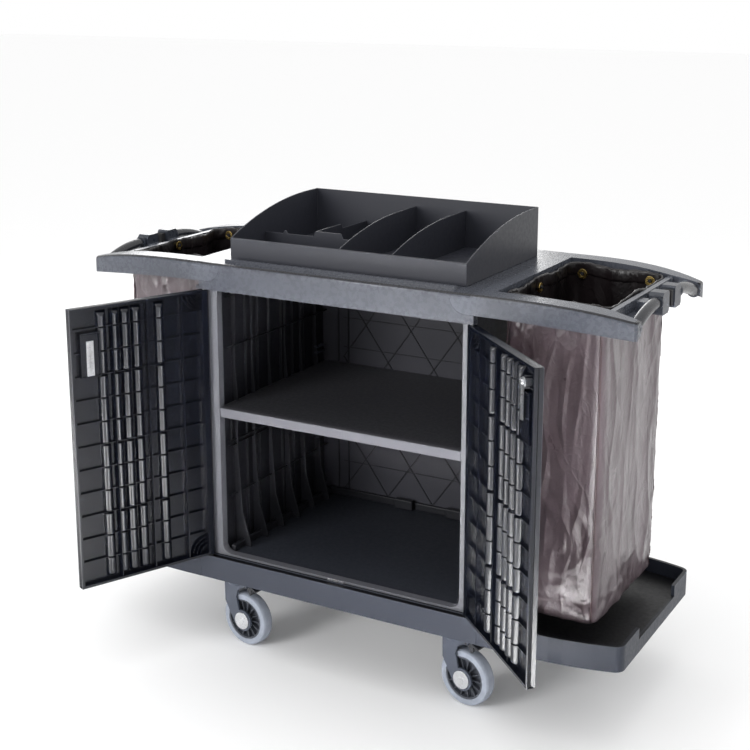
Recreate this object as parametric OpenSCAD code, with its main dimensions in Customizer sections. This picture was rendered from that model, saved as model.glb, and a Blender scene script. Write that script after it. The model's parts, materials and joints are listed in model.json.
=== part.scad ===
// Housekeeping cart: a two-door cabinet on a wheeled base, with a top organizer
// and a hung bag at each end. Millimetres, +Z up, floor at Z = 0, front at -Y.

/* [Overall size] */
// Length over the end trays and the bag frames
cart_length = 1562; // [1480:2:1760]
// Depth over the base skirts and the deck beams
cart_depth = 594; // [560:2:680]
// Height of the top deck above the floor
deck_height = 1087; // [960:1:1240]

/* [Base] */
// Length of the central base moulding
base_length = 836; // [816:2:920]
// Height of the skirt round the base and the end trays
skirt_height = 66; // [56:1:90]
// Wall of the base and tray mouldings
base_wall = 4; // [3:0.5:6]
// Thickness of the base's top plate
base_plate = 8; // [6:0.5:10]
// Height of the floor panel inside the cabinet above the base
floor_rise = 1.5; // [1:0.5:3]
// Depth of the end tray below its rim
tray_depth = 38; // [24:1:44]
// Width of the tray's rim
rim_width = 9; // [6:0.5:14]
// Depth of the dip in the rim at the tray's end
rim_dip = 30; // [10:1:36]
// Length of the dip in the rim
rim_dip_length = 276; // [160:2:320]
// How far the front and back edges draw in towards the ends
end_draw = 40; // [0:1:60]
// Corner radius of the end trays
tray_corner = 26; // [12:1:40]
// Gap at the seam between neighbouring mouldings
seam_gap = 0.4; // [0.2:0.1:0.8]

/* [Cabinet] */
// Width over the side panels
cabinet_width = 770; // [740:2:790]
// Width of the front frame's uprights
jamb_width = 27; // [22:1:36]
// Thickness of the side panels
side_thickness = 12; // [8:1:16]
// Depth of the ribs inside the side panels
rib_depth = 8; // [4:1:10]
// Number of ribs on each side panel
side_ribs = 8; // [4:1:10]
// Thickness of the back panel
back_thickness = 8; // [6:1:12]
// Depth of the front frame
frame_depth = 24; // [16:1:30]
// Height of the sill above the base
sill_height = 7; // [5:1:12]
// Thickness of the shelf
shelf_thickness = 26; // [16:1:36]
// Height of the shelf's top above the base
shelf_level = 420; // [300:5:520]

/* [Doors] */
// Thickness of each door
door_thickness = 22; // [18:1:26]
// Opening angle of the left door
left_open = 114; // [0:1:180]
// Opening angle of the right door
right_open = 137; // [0:1:180]
// Gap between the closed doors, and above and below them
door_gap = 3; // [2:0.5:5]
// Radius of the hinge pins
pin_radius = 5; // [4:0.5:6]
// Length of the cam bar on the lock
cam_length = 85; // [70:1:95]
// Distance of the lock from the door's free edge
lock_inset = 58; // [52:1:64]

/* [Top deck] */
// Height of the beam along the front and the back of the deck
beam_height = 72; // [60:1:90]
// Thickness of the deck's top plate
deck_plate = 12; // [8:1:16]
// Radius of the deck's front and back top edges
deck_round = 8; // [5:1:10]
// Height of the bead on the deck in front of the organizer
bead_height = 8; // [4:1:12]

/* [Organizer] */
// Length of the organizer tray
organizer_length = 687; // [600:1:720]
// Depth of the organizer tray
organizer_depth = 432; // [380:1:440]
// Height of its front wall
organizer_front = 56; // [40:1:70]
// Height of its back wall
organizer_back = 132; // [110:1:150]
// Wall of the organizer tray
organizer_wall = 3.5; // [2.5:0.5:5]
// Thickness of the dividers
divider_thickness = 3; // [2:0.5:4]

/* [Bag frames] */
// Width of the frame's rails
rail_width = 62; // [54:1:70]
// Height of the frame's rails next to the deck
rail_height = 50; // [44:1:56]
// How far the rails' top drops towards the end
rail_drop = 31; // [0:1:34]
// Wall of the bag frame
rail_wall = 4; // [3:0.5:5]
// Radius of the handle bar
handle_radius = 14; // [12:0.5:15]
// Gap between the two tool holder blocks
holder_gap = 44; // [38:1:50]
// Radius of the tool handle that the pads hold
tool_radius = 12.5; // [11:0.5:14]

/* [Bags] */
// Wall of the bag's solid
bag_wall = 3; // [2:0.5:4]
// Clearance between the bag and its frame
bag_clear = 8; // [5:0.5:12]
// Height of the bag's bottom above the end tray's floor
bag_lift = 45; // [10:1:80]
// Outer radius of the grommets
grommet_radius = 13; // [11:0.5:15]

/* [Casters] */
// Diameter of the wheels
wheel_diameter = 150; // [125:1:160]
// Width of the tyres
wheel_width = 34; // [30:1:38]
// Height of a caster, from the floor to its plate's top
caster_height = 202; // [196:1:220]
// Distance of the axle behind the swivel axis
caster_trail = 28; // [20:1:34]
// Distance of the casters from the cart's middle, along its length
caster_x = 338; // [320:1:345]
// Distance of the casters from the cart's middle, along its depth
caster_y = 225; // [200:1:228]

/* [Hidden] */
$fn = 64;
CASTERS = ["front_left", "front_right", "back_left", "back_right"];

black = "#26282c";
charcoal = "#3a3d43";
grey = "#6b6f76";
bag_colour = "#5d5254";
brass = "#c9a94e";
zinc = "#c9cbd0";
fork_colour = "#3c434d";

fit = 0.05;             // radial clearance of a running fit
touch = 0.3;            // clearance between bodies that rest on each other
over = 1;               // overshoot of a cutting tool
half_length = cart_length / 2;
half_depth = cart_depth / 2;
base_half = base_length / 2;
base_z0 = caster_height;
base_top = base_z0 + skirt_height;
plate_z = deck_height - deck_plate;
beam_z0 = deck_height - beam_height;
cabinet_half = cabinet_width / 2;

// The closed doors stand flush with the skirt and the beam.
door_clear = 1;
hinge_y = -(half_depth - door_thickness / 2);
hinge_x = cabinet_half + 4;
frame_front = -(half_depth - door_thickness - door_clear);
frame_back = frame_front + frame_depth;
door_z0 = base_top + door_gap + 1;
door_z1 = beam_z0 - door_gap;
door_reach = hinge_x - door_gap;
door_height = door_z1 - door_z0;
pin_depth = 24;

back_y = half_depth - 15;
opening_half = cabinet_half - jamb_width;
opening_z0 = base_top + sill_height;
opening_z1 = beam_z0 - 4;
side_inner = cabinet_half - side_thickness;
floor_half = side_inner - rib_depth - 1;
shelf_z1 = base_top + shelf_level;
shelf_z0 = shelf_z1 - shelf_thickness;
shelf_half = side_inner - rib_depth - 0.5;
ledge_height = 6;
ledge_reach = 12;

// The bag frame's rails follow the end trays' plan and drop towards the end.
rail_start = cabinet_half + 1.5;
rail_rise = 23;         // how far the rails' underside climbs less than the top drops
cross_width = 14;
cross_x = base_half + (half_length - base_half) * 0.77;
member_width = 41.5;
member_depth = 42;
lap_depth = 7.7;
lap_length = 54;
rail_end = 8;
peg_radius = 4;
peg_z = deck_height - 33;
grommet_hole = 6;

function reach(x) = max(0, min(1, (x - base_half) / (half_length - base_half)));
function edge_y(x) = half_depth - end_draw * pow(reach(x), 3);
function rail_top(x) = deck_height - rail_drop * pow(reach(x), 3);
function rail_bottom(x) = deck_height - rail_height - rail_rise * pow(reach(x), 2);
function taper(x) = max(0, (x - cross_x) / (half_length - cross_x));
function rail_w(x) = rail_width - (rail_width - 30) * taper(x);
function rail_inner(x) = edge_y(x) - rail_w(x);

// Handle bar: a spigot in the holder block, then an arc down to the rail.
spigot_radius = handle_radius - 1.5;
handle_x = half_length - 17;
handle_z = deck_height - 21;
holder_outer = holder_gap / 2 + 48;
stub_y = holder_outer + 10;
handle_end = rail_inner(handle_x) - 4;
handle_fall = 29;
handle_run = handle_end - stub_y;
handle_bend = (pow(handle_run, 2) + pow(handle_fall, 2)) / (2 * handle_fall);
handle_sweep = asin(handle_run / handle_bend);
holder_back = handle_x - handle_radius - 6;
holder_face = handle_x + handle_radius + 1;
holder_z0 = handle_z - 32;
holder_z1 = handle_z + 22;

// Bag: flat-sided at the hem, where the grommets sit, and slightly fuller below.
bag_x0 = rail_start + member_width + bag_clear + 2;
bag_x1 = cross_x - bag_clear;
bag_y = rail_inner(cross_x) - bag_clear;
bag_z1 = deck_height - 16;
bag_z0 = base_top - tray_depth + bag_lift;
bag_corner = 26;
long_pegs = [bag_x0 + 34, bag_x1 - 34];

wheel_radius = wheel_diameter / 2;
axle_radius = 8;
cheek_in = wheel_width / 2 + 4;
cheek_thickness = 6;
hub_width = 2 * cheek_in - 1;
crown_top = caster_height - 13.4;
crown_bottom = crown_top - 14;
crown_radius = 34;
caster_plate_size = [100, 84, 4];
caster_bolt_x = 40;
caster_bolt_y = 32;
bolt_radius = 3;
pad_height = 10;
pad_size = [112, 96];
swing = [-7, -11, -9, -12];
brake_pivot = [40, crown_top - 11];

function stem(i) = [(i % 2 == 0 ? -1 : 1) * caster_x, (i < 2 ? -1 : 1) * caster_y];

// ---------------------------------------------------------------- helpers

module box(a, b) {
    translate(a)
        cube(b - a);
}

// Rectangle from a to b whose lower corners have radius r0 and upper ones r1.
module rounded_opening(a, b, r0, r1) {
    translate([a[0] + r0, a[1]])
        square([b[0] - a[0] - 2 * r0, b[1] - a[1] - r1]);
    translate([a[0], a[1] + r0])
        square([b[0] - a[0], b[1] - a[1] - r0 - r1]);
    translate([a[0] + r1, a[1] + r0])
        square([b[0] - a[0] - 2 * r1, b[1] - a[1] - r0]);
    for (x = [a[0] + r0, b[0] - r0])
        translate([x, a[1] + r0])
            circle(r0);
    for (x = [a[0] + r1, b[0] - r1])
        translate([x, b[1] - r1])
            circle(r1);
}

// A 2D shape drawn in X and Z, extruded from y0 to y1.
module upright(y0, y1) {
    translate([0, y1, 0])
        rotate([90, 0, 0])
            linear_extrude(y1 - y0)
                children();
}

// A 2D shape drawn in Y and Z, extruded from x0 to x1.
module crosswise(x0, x1) {
    translate([x0, 0, 0])
        rotate([90, 0, 90])
            linear_extrude(x1 - x0)
                children();
}

// Closed solid through rings of equally many points, with convex end rings.
module loft(rings) {
    n = len(rings[0]);
    m = len(rings);
    points = [for (r = rings) each r];
    sides = [
        for (k = [0 : m - 2], i = [0 : n - 1])
            [k * n + i, k * n + (i + 1) % n, (k + 1) * n + (i + 1) % n, (k + 1) * n + i]
    ];
    first = [for (i = [n - 1 : -1 : 0]) i];
    last = [for (i = [0 : n - 1]) (m - 1) * n + i];
    polyhedron(points, concat(sides, [first, last]));
}

// Sheet between an outer and an inner open path, swept through its stations.
module sheet_loft(outer, inner) {
    n = len(outer[0]);
    m = len(outer);
    q = n * m;
    points = concat([for (r = outer) each r], [for (r = inner) each r]);
    skins = [
        for (k = [0 : m - 2], i = [0 : n - 2])
            each [
                [k * n + i, k * n + i + 1, (k + 1) * n + i + 1, (k + 1) * n + i],
                [
                    q + (k + 1) * n + i, q + (k + 1) * n + i + 1,
                    q + k * n + i + 1, q + k * n + i
                ]
            ]
    ];
    lips = [
        for (k = [0 : m - 2])
            each [
                [q + k * n, k * n, (k + 1) * n, q + (k + 1) * n],
                [
                    k * n + n - 1, q + k * n + n - 1,
                    q + (k + 1) * n + n - 1, (k + 1) * n + n - 1
                ]
            ]
    ];
    ends = [
        for (i = [0 : n - 2])
            each [
                [i, q + i, q + i + 1, i + 1],
                [
                    (m - 1) * n + i + 1, q + (m - 1) * n + i + 1,
                    q + (m - 1) * n + i, (m - 1) * n + i
                ]
            ]
    ];
    polyhedron(points, concat(skins, lips, ends));
}

module mirrored(left) {
    mirror([left ? 1 : 0, 0, 0])
        children();
}

// ---------------------------------------------------------------- base

module base_platform() {
    color(charcoal)
        difference() {
            union() {
                difference() {
                    box([-base_half, -half_depth, base_z0], [base_half, half_depth, base_top]);
                    box(
                        [-base_half + base_wall, -half_depth + base_wall, base_z0 - over],
                        [base_half - base_wall, half_depth - base_wall, base_top - base_plate]
                    );
                }
                for (x = [-caster_x, -caster_x / 2, 0, caster_x / 2, caster_x])
                    box(
                        [x - 2, -half_depth + 1, base_z0 + 6],
                        [x + 2, half_depth - 1, base_top - 1]
                    );
                for (y = [-caster_y, 0, caster_y])
                    box([-base_half + 1, y - 2, base_z0 + 6], [base_half - 1, y + 2, base_top - 1]);
                for (i = [0 : 3])
                    translate(concat(stem(i) - pad_size / 2, [base_z0]))
                        cube(concat(pad_size, [pad_height]));
                box(
                    [-floor_half, frame_back + 1, base_top - 1],
                    [floor_half, back_y - 1, base_top + floor_rise]
                );
            }
            box(
                [-base_half + 14, -half_depth + 5, base_top - 4],
                [base_half - 14, frame_front - 2, base_top + over]
            );
            for (x = [-hinge_x, hinge_x])
                translate([x, hinge_y, base_top - pin_depth])
                    cylinder(r = pin_radius, h = pin_depth + over);
            for (i = [0 : 3], x = [-caster_bolt_x, caster_bolt_x], y = [-caster_bolt_y, caster_bolt_y])
                translate(concat(stem(i) + [x, y], [base_z0 - over]))
                    cylinder(r = bolt_radius, h = pad_height + over);
        }
}

// Plan of an end tray, drawn in by inset from its outline.
module tray_plan(inset = 0) {
    steps = 12;
    xs = [for (k = [0 : steps]) base_half - 60 + k * (half_length - base_half + 60) / steps];
    intersection() {
        offset(r = tray_corner - inset, $fn = 48)
            offset(delta = -tray_corner)
                polygon(concat(
                    [for (x = xs) [x, -edge_y(x)]],
                    [for (k = [steps : -1 : 0]) [xs[k], edge_y(xs[k])]]
                ));
        translate([base_half + seam_gap + inset, -half_depth])
            square([half_length, cart_depth]);
    }
}

module end_tray(left) {
    floor_z = base_top - tray_depth;
    color(charcoal)
        mirrored(left)
            difference() {
                translate([0, 0, base_z0])
                    linear_extrude(skirt_height)
                        tray_plan();
                translate([0, 0, floor_z])
                    linear_extrude(tray_depth + over)
                        tray_plan(rim_width);
                translate([0, 0, base_z0 - over])
                    linear_extrude(skirt_height - tray_depth - base_wall + over)
                        tray_plan(base_wall);
                box(
                    [half_length - tray_corner - 2, -rim_dip_length / 2, base_top - rim_dip],
                    [half_length + over, rim_dip_length / 2, base_top + over]
                );
            }
}

// ---------------------------------------------------------------- cabinet

module side_panel(left) {
    pitch = (back_y - frame_back) / (side_ribs + 1);
    color(black)
        mirrored(left) {
            box([side_inner, frame_back, base_top], [cabinet_half, back_y, plate_z]);
            for (k = [1 : side_ribs])
                translate([side_inner - rib_depth, frame_back + k * pitch - 2, base_top])
                    cube([rib_depth + 1, 4, plate_z - base_top]);
            box(
                [side_inner - rib_depth - ledge_reach, frame_back, shelf_z0 - ledge_height],
                [side_inner + 1, back_y, shelf_z0]
            );
        }
}

module back_panel() {
    color(black)
        box([-cabinet_half, back_y, base_top], [cabinet_half, back_y + back_thickness, beam_z0]);
}

module front_frame() {
    color(charcoal)
        upright(frame_front, frame_back)
            difference() {
                translate([-cabinet_half, base_top])
                    square([cabinet_width, plate_z - base_top]);
                rounded_opening([-opening_half, opening_z0], [opening_half, opening_z1], 26, 8);
            }
}

module shelf() {
    margin = 24;
    cell_x = (2 * shelf_half - 2 * margin) / 5;
    cell_y = (back_y - frame_back - 2 * margin) / 3;
    color(black)
        difference() {
            union() {
                box([-shelf_half, frame_back, shelf_z0], [shelf_half, back_y, shelf_z1]);
                box(
                    [-opening_half + 0.5, frame_front + 2, shelf_z0],
                    [opening_half - 0.5, frame_back + 1, shelf_z1]
                );
            }
            for (i = [0 : 4], j = [0 : 2])
                translate([
                    -shelf_half + margin + i * cell_x + 2, frame_back + margin + j * cell_y + 2,
                    shelf_z0 - over
                ])
                    cube([cell_x - 4, cell_y - 4, shelf_thickness - 5 + over]);
        }
}

// ---------------------------------------------------------------- top deck

lap_x0 = rail_start - lap_length;
lap_top = deck_height - deck_round;
lap_z0 = deck_height - rail_height;
lap_radius = lap_top - lap_z0;

// The rounded inner end of a bag frame's arm, drawn in X and Z.
module lap_shape(grow = 0) {
    intersection() {
        translate([lap_x0 + lap_radius, lap_top])
            circle(lap_radius + grow);
        translate([lap_x0 - grow, lap_z0 - grow])
            square([lap_radius + grow + 0.01, lap_radius + 2 * grow]);
    }
    translate([lap_x0 + lap_radius, lap_z0 - grow])
        square([lap_length - lap_radius + 4 + grow, lap_radius + 2 * grow]);
}

module top_deck() {
    beam_half = hinge_x + 8;
    beam_thickness = half_depth - back_y;
    color(charcoal)
        difference() {
            union() {
                box(
                    [-cabinet_half - 1, -half_depth + deck_round, plate_z],
                    [cabinet_half + 1, half_depth - deck_round, deck_height]
                );
                for (s = [-1, 1]) {
                    translate([-cabinet_half - 1, s * (half_depth - deck_round), deck_height - deck_round])
                        rotate([0, 90, 0])
                            cylinder(r = deck_round, h = cabinet_width + 2);
                    box(
                        [-cabinet_half - 1, min(s * half_depth, s * (half_depth - beam_thickness)), lap_z0 - 2],
                        [cabinet_half + 1, max(s * half_depth, s * (half_depth - beam_thickness)), lap_top]
                    );
                    box(
                        [-beam_half, min(s * half_depth, s * (half_depth - beam_thickness)), beam_z0],
                        [beam_half, max(s * half_depth, s * (half_depth - beam_thickness)), lap_z0 - 1]
                    );
                }
                for (s = [-1, 1])
                    box(
                        [s * hinge_x - 18, -half_depth + 1, beam_z0],
                        [s * hinge_x + 8, frame_front - door_clear, beam_z0 + 8]
                    );
                box([-330, -268, deck_height - over], [330, -256, deck_height + bead_height]);
                for (x = [-330, 330])
                    translate([x, -262, deck_height - over])
                        cylinder(r = 6, h = bead_height + over);
            }
            for (s = [0, 1])
                mirror([s, 0, 0]) {
                    upright(-half_depth - over, -half_depth + lap_depth + touch)
                        lap_shape(touch);
                    upright(half_depth - lap_depth - touch, half_depth + over)
                        lap_shape(touch);
                }
            for (x = [-hinge_x, hinge_x])
                translate([x, hinge_y, beam_z0 - over])
                    cylinder(r = pin_radius, h = pin_depth - 4 + over);
        }
}

// ---------------------------------------------------------------- organizer

organizer_y0 = -226;
organizer_z0 = deck_height + touch;
organizer_floor = organizer_z0 + 4;
organizer_y1 = organizer_y0 + organizer_depth;
divider_left_x = -20;
divider_right_x = 132;
low_cross_y = -66;
low_side_x = -178;

// Wall outline in Y and Z: it rises along an arc from the front to its crest.
module arc_wall(y0, y1, z0, z_front, z_top, crest_y) {
    run = crest_y - y0;
    rise = z_top - z_front;
    radius = (run * run + rise * rise) / (2 * rise);
    intersection() {
        translate([y0, z0])
            square([run + 0.01, z_top - z0]);
        translate([crest_y, z_top - radius])
            circle(radius, $fn = 360);
    }
    translate([crest_y, z0])
        square([y1 - crest_y, z_top - z0]);
}

module organizer_tray() {
    half = organizer_length / 2;
    color(black)
        difference() {
            crosswise(-half, half)
                arc_wall(
                    organizer_y0, organizer_y1, organizer_z0,
                    organizer_z0 + organizer_front, organizer_z0 + organizer_back,
                    organizer_y1 - 46
                );
            box(
                [-half + organizer_wall, organizer_y0 + organizer_wall, organizer_floor],
                [
                    half - organizer_wall, organizer_y1 - organizer_wall,
                    organizer_z0 + organizer_back + over
                ]
            );
        }
}

module organizer_divider(x) {
    color(black)
        crosswise(x - divider_thickness / 2, x + divider_thickness / 2)
            arc_wall(
                organizer_y0 + organizer_wall, organizer_y1 - organizer_wall, organizer_floor,
                organizer_z0 + organizer_front - 5, organizer_z0 + organizer_back - 27,
                organizer_y1 - 96
            );
}

module organizer_low_cross() {
    x0 = -organizer_length / 2 + organizer_wall;
    x1 = divider_left_x - divider_thickness / 2;
    low = organizer_z0 + organizer_front - 7;
    color(black)
        upright(low_cross_y - divider_thickness / 2, low_cross_y + divider_thickness / 2)
            polygon([
                [x0, organizer_floor], [x1, organizer_floor], [x1, low], [-94, low], [-100, low + 14],
                [low_side_x - 2, low + 14], [low_side_x - 8, low], [-268, low], [-272, low + 8],
                [-278, low + 8], [-282, low], [x0, low]
            ]);
}

module organizer_low_side() {
    y0 = low_cross_y + divider_thickness / 2;
    y1 = organizer_y1 - organizer_wall;
    high = organizer_z0 + organizer_front + 7;
    color(black)
        crosswise(low_side_x - divider_thickness / 2, low_side_x + divider_thickness / 2)
            polygon([
                [y0, organizer_floor], [y1, organizer_floor], [y1, high - 12],
                [70, high - 12], [62, high], [y0, high]
            ]);
}

// ---------------------------------------------------------------- bag frames

// Section of a rail at x: outer path, then the same path one wall inside it.
function rail_outer(x, w, zt, zb) = [
    [x, -edge_y(x), zb],
    [x, -edge_y(x), zt - deck_round],
    [x, -edge_y(x) + deck_round * 0.29, zt - deck_round * 0.29],
    [x, -edge_y(x) + deck_round, zt],
    [x, -edge_y(x) + w, zt],
    [x, -edge_y(x) + w, zb + 8]
];
function rail_inner_path(x, w, zt, zb) = [
    [x, -edge_y(x) + rail_wall, zb],
    [x, -edge_y(x) + rail_wall, zt - deck_round - 1],
    [x, -edge_y(x) + rail_wall + 1.5, zt - rail_wall - 1.5],
    [x, -edge_y(x) + deck_round + 1, zt - rail_wall],
    [x, -edge_y(x) + w - rail_wall, zt - rail_wall],
    [x, -edge_y(x) + w - rail_wall, zb + 8]
];

module rail() {
    steps = 12;
    last_x = half_length - rail_end;
    xs = [for (k = [0 : steps]) rail_start + k * (last_x - rail_start) / steps];
    sheet_loft(
        [for (x = xs) rail_outer(x, rail_w(x), rail_top(x), rail_bottom(x))],
        [for (x = xs) rail_inner_path(x, rail_w(x), rail_top(x), rail_bottom(x))]
    );
    tip = [[last_x - 2, 0], [last_x + 3, 1], [half_length - 1.5, 4], [half_length, 8]];
    loft([
        for (t = tip)
            [
                for (p = rail_outer(t[0], rail_w(t[0]) - t[1], rail_top(t[0]), rail_bottom(t[0])))
                    p + [0, t[1], 0]
            ]
    ]);
}

module peg(from, toward, length) {
    translate(from)
        rotate(toward)
            cylinder(r = peg_radius, h = length);
}

module bag_frame(left) {
    member_x1 = rail_start + member_width;
    member_y = half_depth - rail_width + 2;
    color(charcoal)
        mirrored(left) {
            rail();
            mirror([0, 1, 0])
                rail();
            upright(-half_depth, -half_depth + lap_depth)
                lap_shape();
            upright(half_depth - lap_depth, half_depth)
                lap_shape();
            box(
                [rail_start, -member_y, deck_height - rail_wall],
                [member_x1, member_y, deck_height]
            );
            for (x = [rail_start, member_x1 - rail_wall])
                box([x, -member_y, deck_height - member_depth], [x + rail_wall, member_y, deck_height]);
            cross_y = rail_inner(cross_x + cross_width) + 2;
            box(
                [cross_x, -cross_y, rail_bottom(cross_x) + 9],
                [cross_x + cross_width, cross_y, rail_top(cross_x) - 6]
            );
            plate_y = rail_inner(cross_x + cross_width) + 1;
            box(
                [cross_x + cross_width - 1, -plate_y, rail_bottom(cross_x) + 12],
                [holder_back - 8, plate_y, rail_bottom(cross_x) + 17]
            );
            for (s = [-1, 1]) {
                translate([cross_x + cross_width - 1, min(s * (holder_gap / 2 + 2), s * (holder_outer - 2)), 0])
                    box(
                        [0, 0, rail_bottom(cross_x) + 12],
                        [holder_back - cross_x - cross_width + 1, holder_outer - holder_gap / 2 - 4, handle_z - 4]
                    );
                translate([handle_x, s * (handle_end + touch), handle_z - handle_fall])
                    rotate([-s * 90, 0, 0])
                        cylinder(r = handle_radius + 4, h = 10);
                for (x = long_pegs)
                    peg(
                        [x, s * (rail_inner(x) + 2), peg_z], [s * 90, 0, 0],
                        rail_inner(x) + 2 - bag_y + 8
                    );
            }
            peg([member_x1 - 2, 0, peg_z], [0, 90, 0], bag_x0 - member_x1 + 10);
            peg([cross_x + 2, 0, peg_z], [0, -90, 0], cross_x - bag_x1 + 10);
        }
}

module handle(left) {
    color(black)
        mirrored(left)
            for (s = [0, 1])
                mirror([0, s, 0])
                    intersection() {
                        union() {
                            translate([handle_x, holder_gap / 2 + 12, handle_z])
                                rotate([-90, 0, 0])
                                    cylinder(r = spigot_radius, h = stub_y - holder_gap / 2 - 9);
                            translate([handle_x, stub_y, handle_z - handle_bend])
                                rotate([90, 0, 90])
                                    rotate([0, 0, 90 - handle_sweep - 4])
                                        rotate_extrude(angle = handle_sweep + 4)
                                            translate([handle_bend, 0])
                                                circle(handle_radius);
                        }
                        box([handle_x - 60, 0, handle_z - 200], [handle_x + 60, handle_end, handle_z + 60]);
                    }
}

module tool_holder(left) {
    color(fork_colour)
        mirrored(left)
            for (s = [0, 1])
                mirror([0, s, 0])
                    difference() {
                        union() {
                            crosswise(holder_back, holder_face)
                                polygon([
                                    [holder_gap / 2, holder_z0 + 6], [holder_gap / 2 + 6, holder_z0],
                                    [holder_outer - 6, holder_z0], [holder_outer, holder_z0 + 6],
                                    [holder_outer, holder_z1 - 8], [holder_outer - 8, holder_z1],
                                    [holder_gap / 2 + 5, holder_z1], [holder_gap / 2, holder_z1 - 5]
                                ]);
                            for (y = [holder_outer + 1, holder_outer + 6])
                                translate([handle_x, y, handle_z])
                                    rotate([-90, 0, 0])
                                        cylinder(r = handle_radius + 3.5, h = 2.5);
                            translate([handle_x, holder_outer - 1, handle_z])
                                rotate([-90, 0, 0])
                                    cylinder(r = handle_radius + 2, h = 9.5);
                        }
                        translate([handle_x, holder_gap / 2 + 11.7, handle_z])
                            rotate([-90, 0, 0])
                                cylinder(r = spigot_radius + fit, h = 80);
                    }
}

module holder_pads(left) {
    color(black)
        mirrored(left)
            for (s = [0, 1])
                mirror([0, s, 0])
                    difference() {
                        box(
                            [handle_x - tool_radius + 1.5, 4, holder_z0 + 8],
                            [handle_x + tool_radius - 1.5, holder_gap / 2, holder_z1 - 8]
                        );
                        translate([handle_x, 0, holder_z0])
                            cylinder(r = tool_radius, h = holder_z1 - holder_z0);
                    }
}

// ---------------------------------------------------------------- bags

function corner(c, r, start) = [for (k = [0 : 6]) c + r * [cos(start + 15 * k), sin(start + 15 * k)]];
function bag_ring(grow, inset, z) =
    let (
        x0 = bag_x0 - grow + inset, x1 = bag_x1 + grow + inset * -1,
        y = bag_y + grow - inset, r = bag_corner - inset
    )
    [
        for (p = concat(
            corner([x1 - r, y - r], r, 0), corner([x0 + r, y - r], r, 90),
            corner([x0 + r, -y + r], r, 180), corner([x1 - r, -y + r], r, 270)
        ))
            [p[0], p[1], z]
    ];

// Levels from the hem down: height and how far the bag stands out there.
bag_levels = [
    [bag_z1, 0], [bag_z1 - 62, 0], [bag_z1 - 110, 2.5], [(bag_z0 + bag_z1) / 2, 4],
    [bag_z0 + 40, 3], [bag_z0 + 10, 1]
];

module bag_shell() {
    outer = concat([for (l = bag_levels) bag_ring(l[1], 0, l[0])], [bag_ring(-6, 0, bag_z0)]);
    inner = concat(
        [for (l = bag_levels) bag_ring(l[1], bag_wall, l[0])], [bag_ring(-5, bag_wall, bag_z0 + bag_wall)]
    );
    n = len(outer[0]);
    m = len(outer);
    q = n * m;
    points = concat([for (r = outer) each r], [for (r = inner) each r]);
    skins = [
        for (k = [0 : m - 2], i = [0 : n - 1])
            each [
                [(k + 1) * n + i, (k + 1) * n + (i + 1) % n, k * n + (i + 1) % n, k * n + i],
                [
                    q + k * n + i, q + k * n + (i + 1) % n,
                    q + (k + 1) * n + (i + 1) % n, q + (k + 1) * n + i
                ]
            ]
    ];
    hem = [for (i = [0 : n - 1]) [i, (i + 1) % n, q + (i + 1) % n, q + i]];
    bottoms = [
        [for (i = [n - 1 : -1 : 0]) (m - 1) * n + i],
        [for (i = [0 : n - 1]) q + (m - 1) * n + i]
    ];
    polyhedron(points, concat(skins, hem, bottoms));
}

// Places its children at each grommet, with +Z through the bag's wall.
module at_grommets() {
    z = peg_z - (grommet_hole - peg_radius - touch);
    for (s = [-1, 1], x = long_pegs)
        translate([x, s * bag_y, z])
            rotate([-s * 90, 0, 0])
                children();
    translate([bag_x0, 0, z])
        rotate([0, -90, 0])
            children();
    translate([bag_x1, 0, z])
        rotate([0, 90, 0])
            children();
}

module bag(left) {
    color(bag_colour)
        mirrored(left)
            difference() {
                bag_shell();
                at_grommets()
                    translate([0, 0, -bag_wall - over])
                        cylinder(r = grommet_hole + 1.6, h = bag_wall + 2 * over);
            }
}

module grommets(left) {
    color(brass)
        mirrored(left)
            at_grommets()
                rotate_extrude()
                    polygon([
                        [grommet_hole, -bag_wall - 1.5], [grommet_radius, -bag_wall - 1.5],
                        [grommet_radius, -bag_wall], [grommet_hole + 1.5, -bag_wall],
                        [grommet_hole + 1.5, 0], [grommet_radius, 0],
                        [grommet_radius, 1.5], [grommet_hole, 1.5]
                    ]);
}

// ---------------------------------------------------------------- doors

door_rim = 24;
skin = 6;
bays = 4;
rows = 11;
lock_x = door_reach - lock_inset;
lock_z = door_z1 - 46;
housing_radius = 12;
core_radius = 9;
platform_z = [door_z1 - 177, door_z1 - 87];
platform_x = [door_reach - 76, door_reach - 30];

// Puts a door's own frame, hinge axis at its origin, where the door stands.
module door_place(left) {
    mirrored(!left)
        translate([-hinge_x, hinge_y, 0])
            rotate([0, 0, left ? -left_open : -right_open])
                children();
}

module door_blank(left) {
    half = door_thickness / 2;
    bay_x0 = 20;
    bay = (door_reach - door_rim - bay_x0) / bays;
    row = (door_height - 28) / rows;
    difference() {
        union() {
            translate([0, 0, door_z0])
                cylinder(r = half, h = door_height);
            box([0, -half, door_z0], [door_reach, half, door_z1]);
        }
        difference() {
            for (i = [0 : bays - 1], j = [0 : rows - 1])
                translate([bay_x0 + i * bay, -half + skin, door_z0 + 14 + j * row])
                    cube([bay - 3, door_thickness, row - 3]);
            translate([lock_x, half, lock_z])
                rotate([90, 0, 0])
                    cylinder(r = housing_radius + 4, h = door_thickness);
            box(
                [platform_x[0], -half, platform_z[0]],
                [platform_x[1], half - 6, platform_z[1]]
            );
        }
        box(
            [platform_x[0], half - 6, platform_z[0]],
            [platform_x[1], half + over, platform_z[1]]
        );
        for (z = [door_z0 - over, door_z1 - pin_depth])
            translate([0, 0, z])
                cylinder(r = pin_radius + fit, h = pin_depth + over);
        box(
            [door_reach - 20, -half - over, platform_z[0]],
            [door_reach + over, -half + 5, platform_z[1]]
        );
        if (!left)
            translate([lock_x, half + over, lock_z])
                rotate([90, 0, 0])
                    cylinder(r = housing_radius, h = door_thickness + 2 * over);
    }
}

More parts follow.
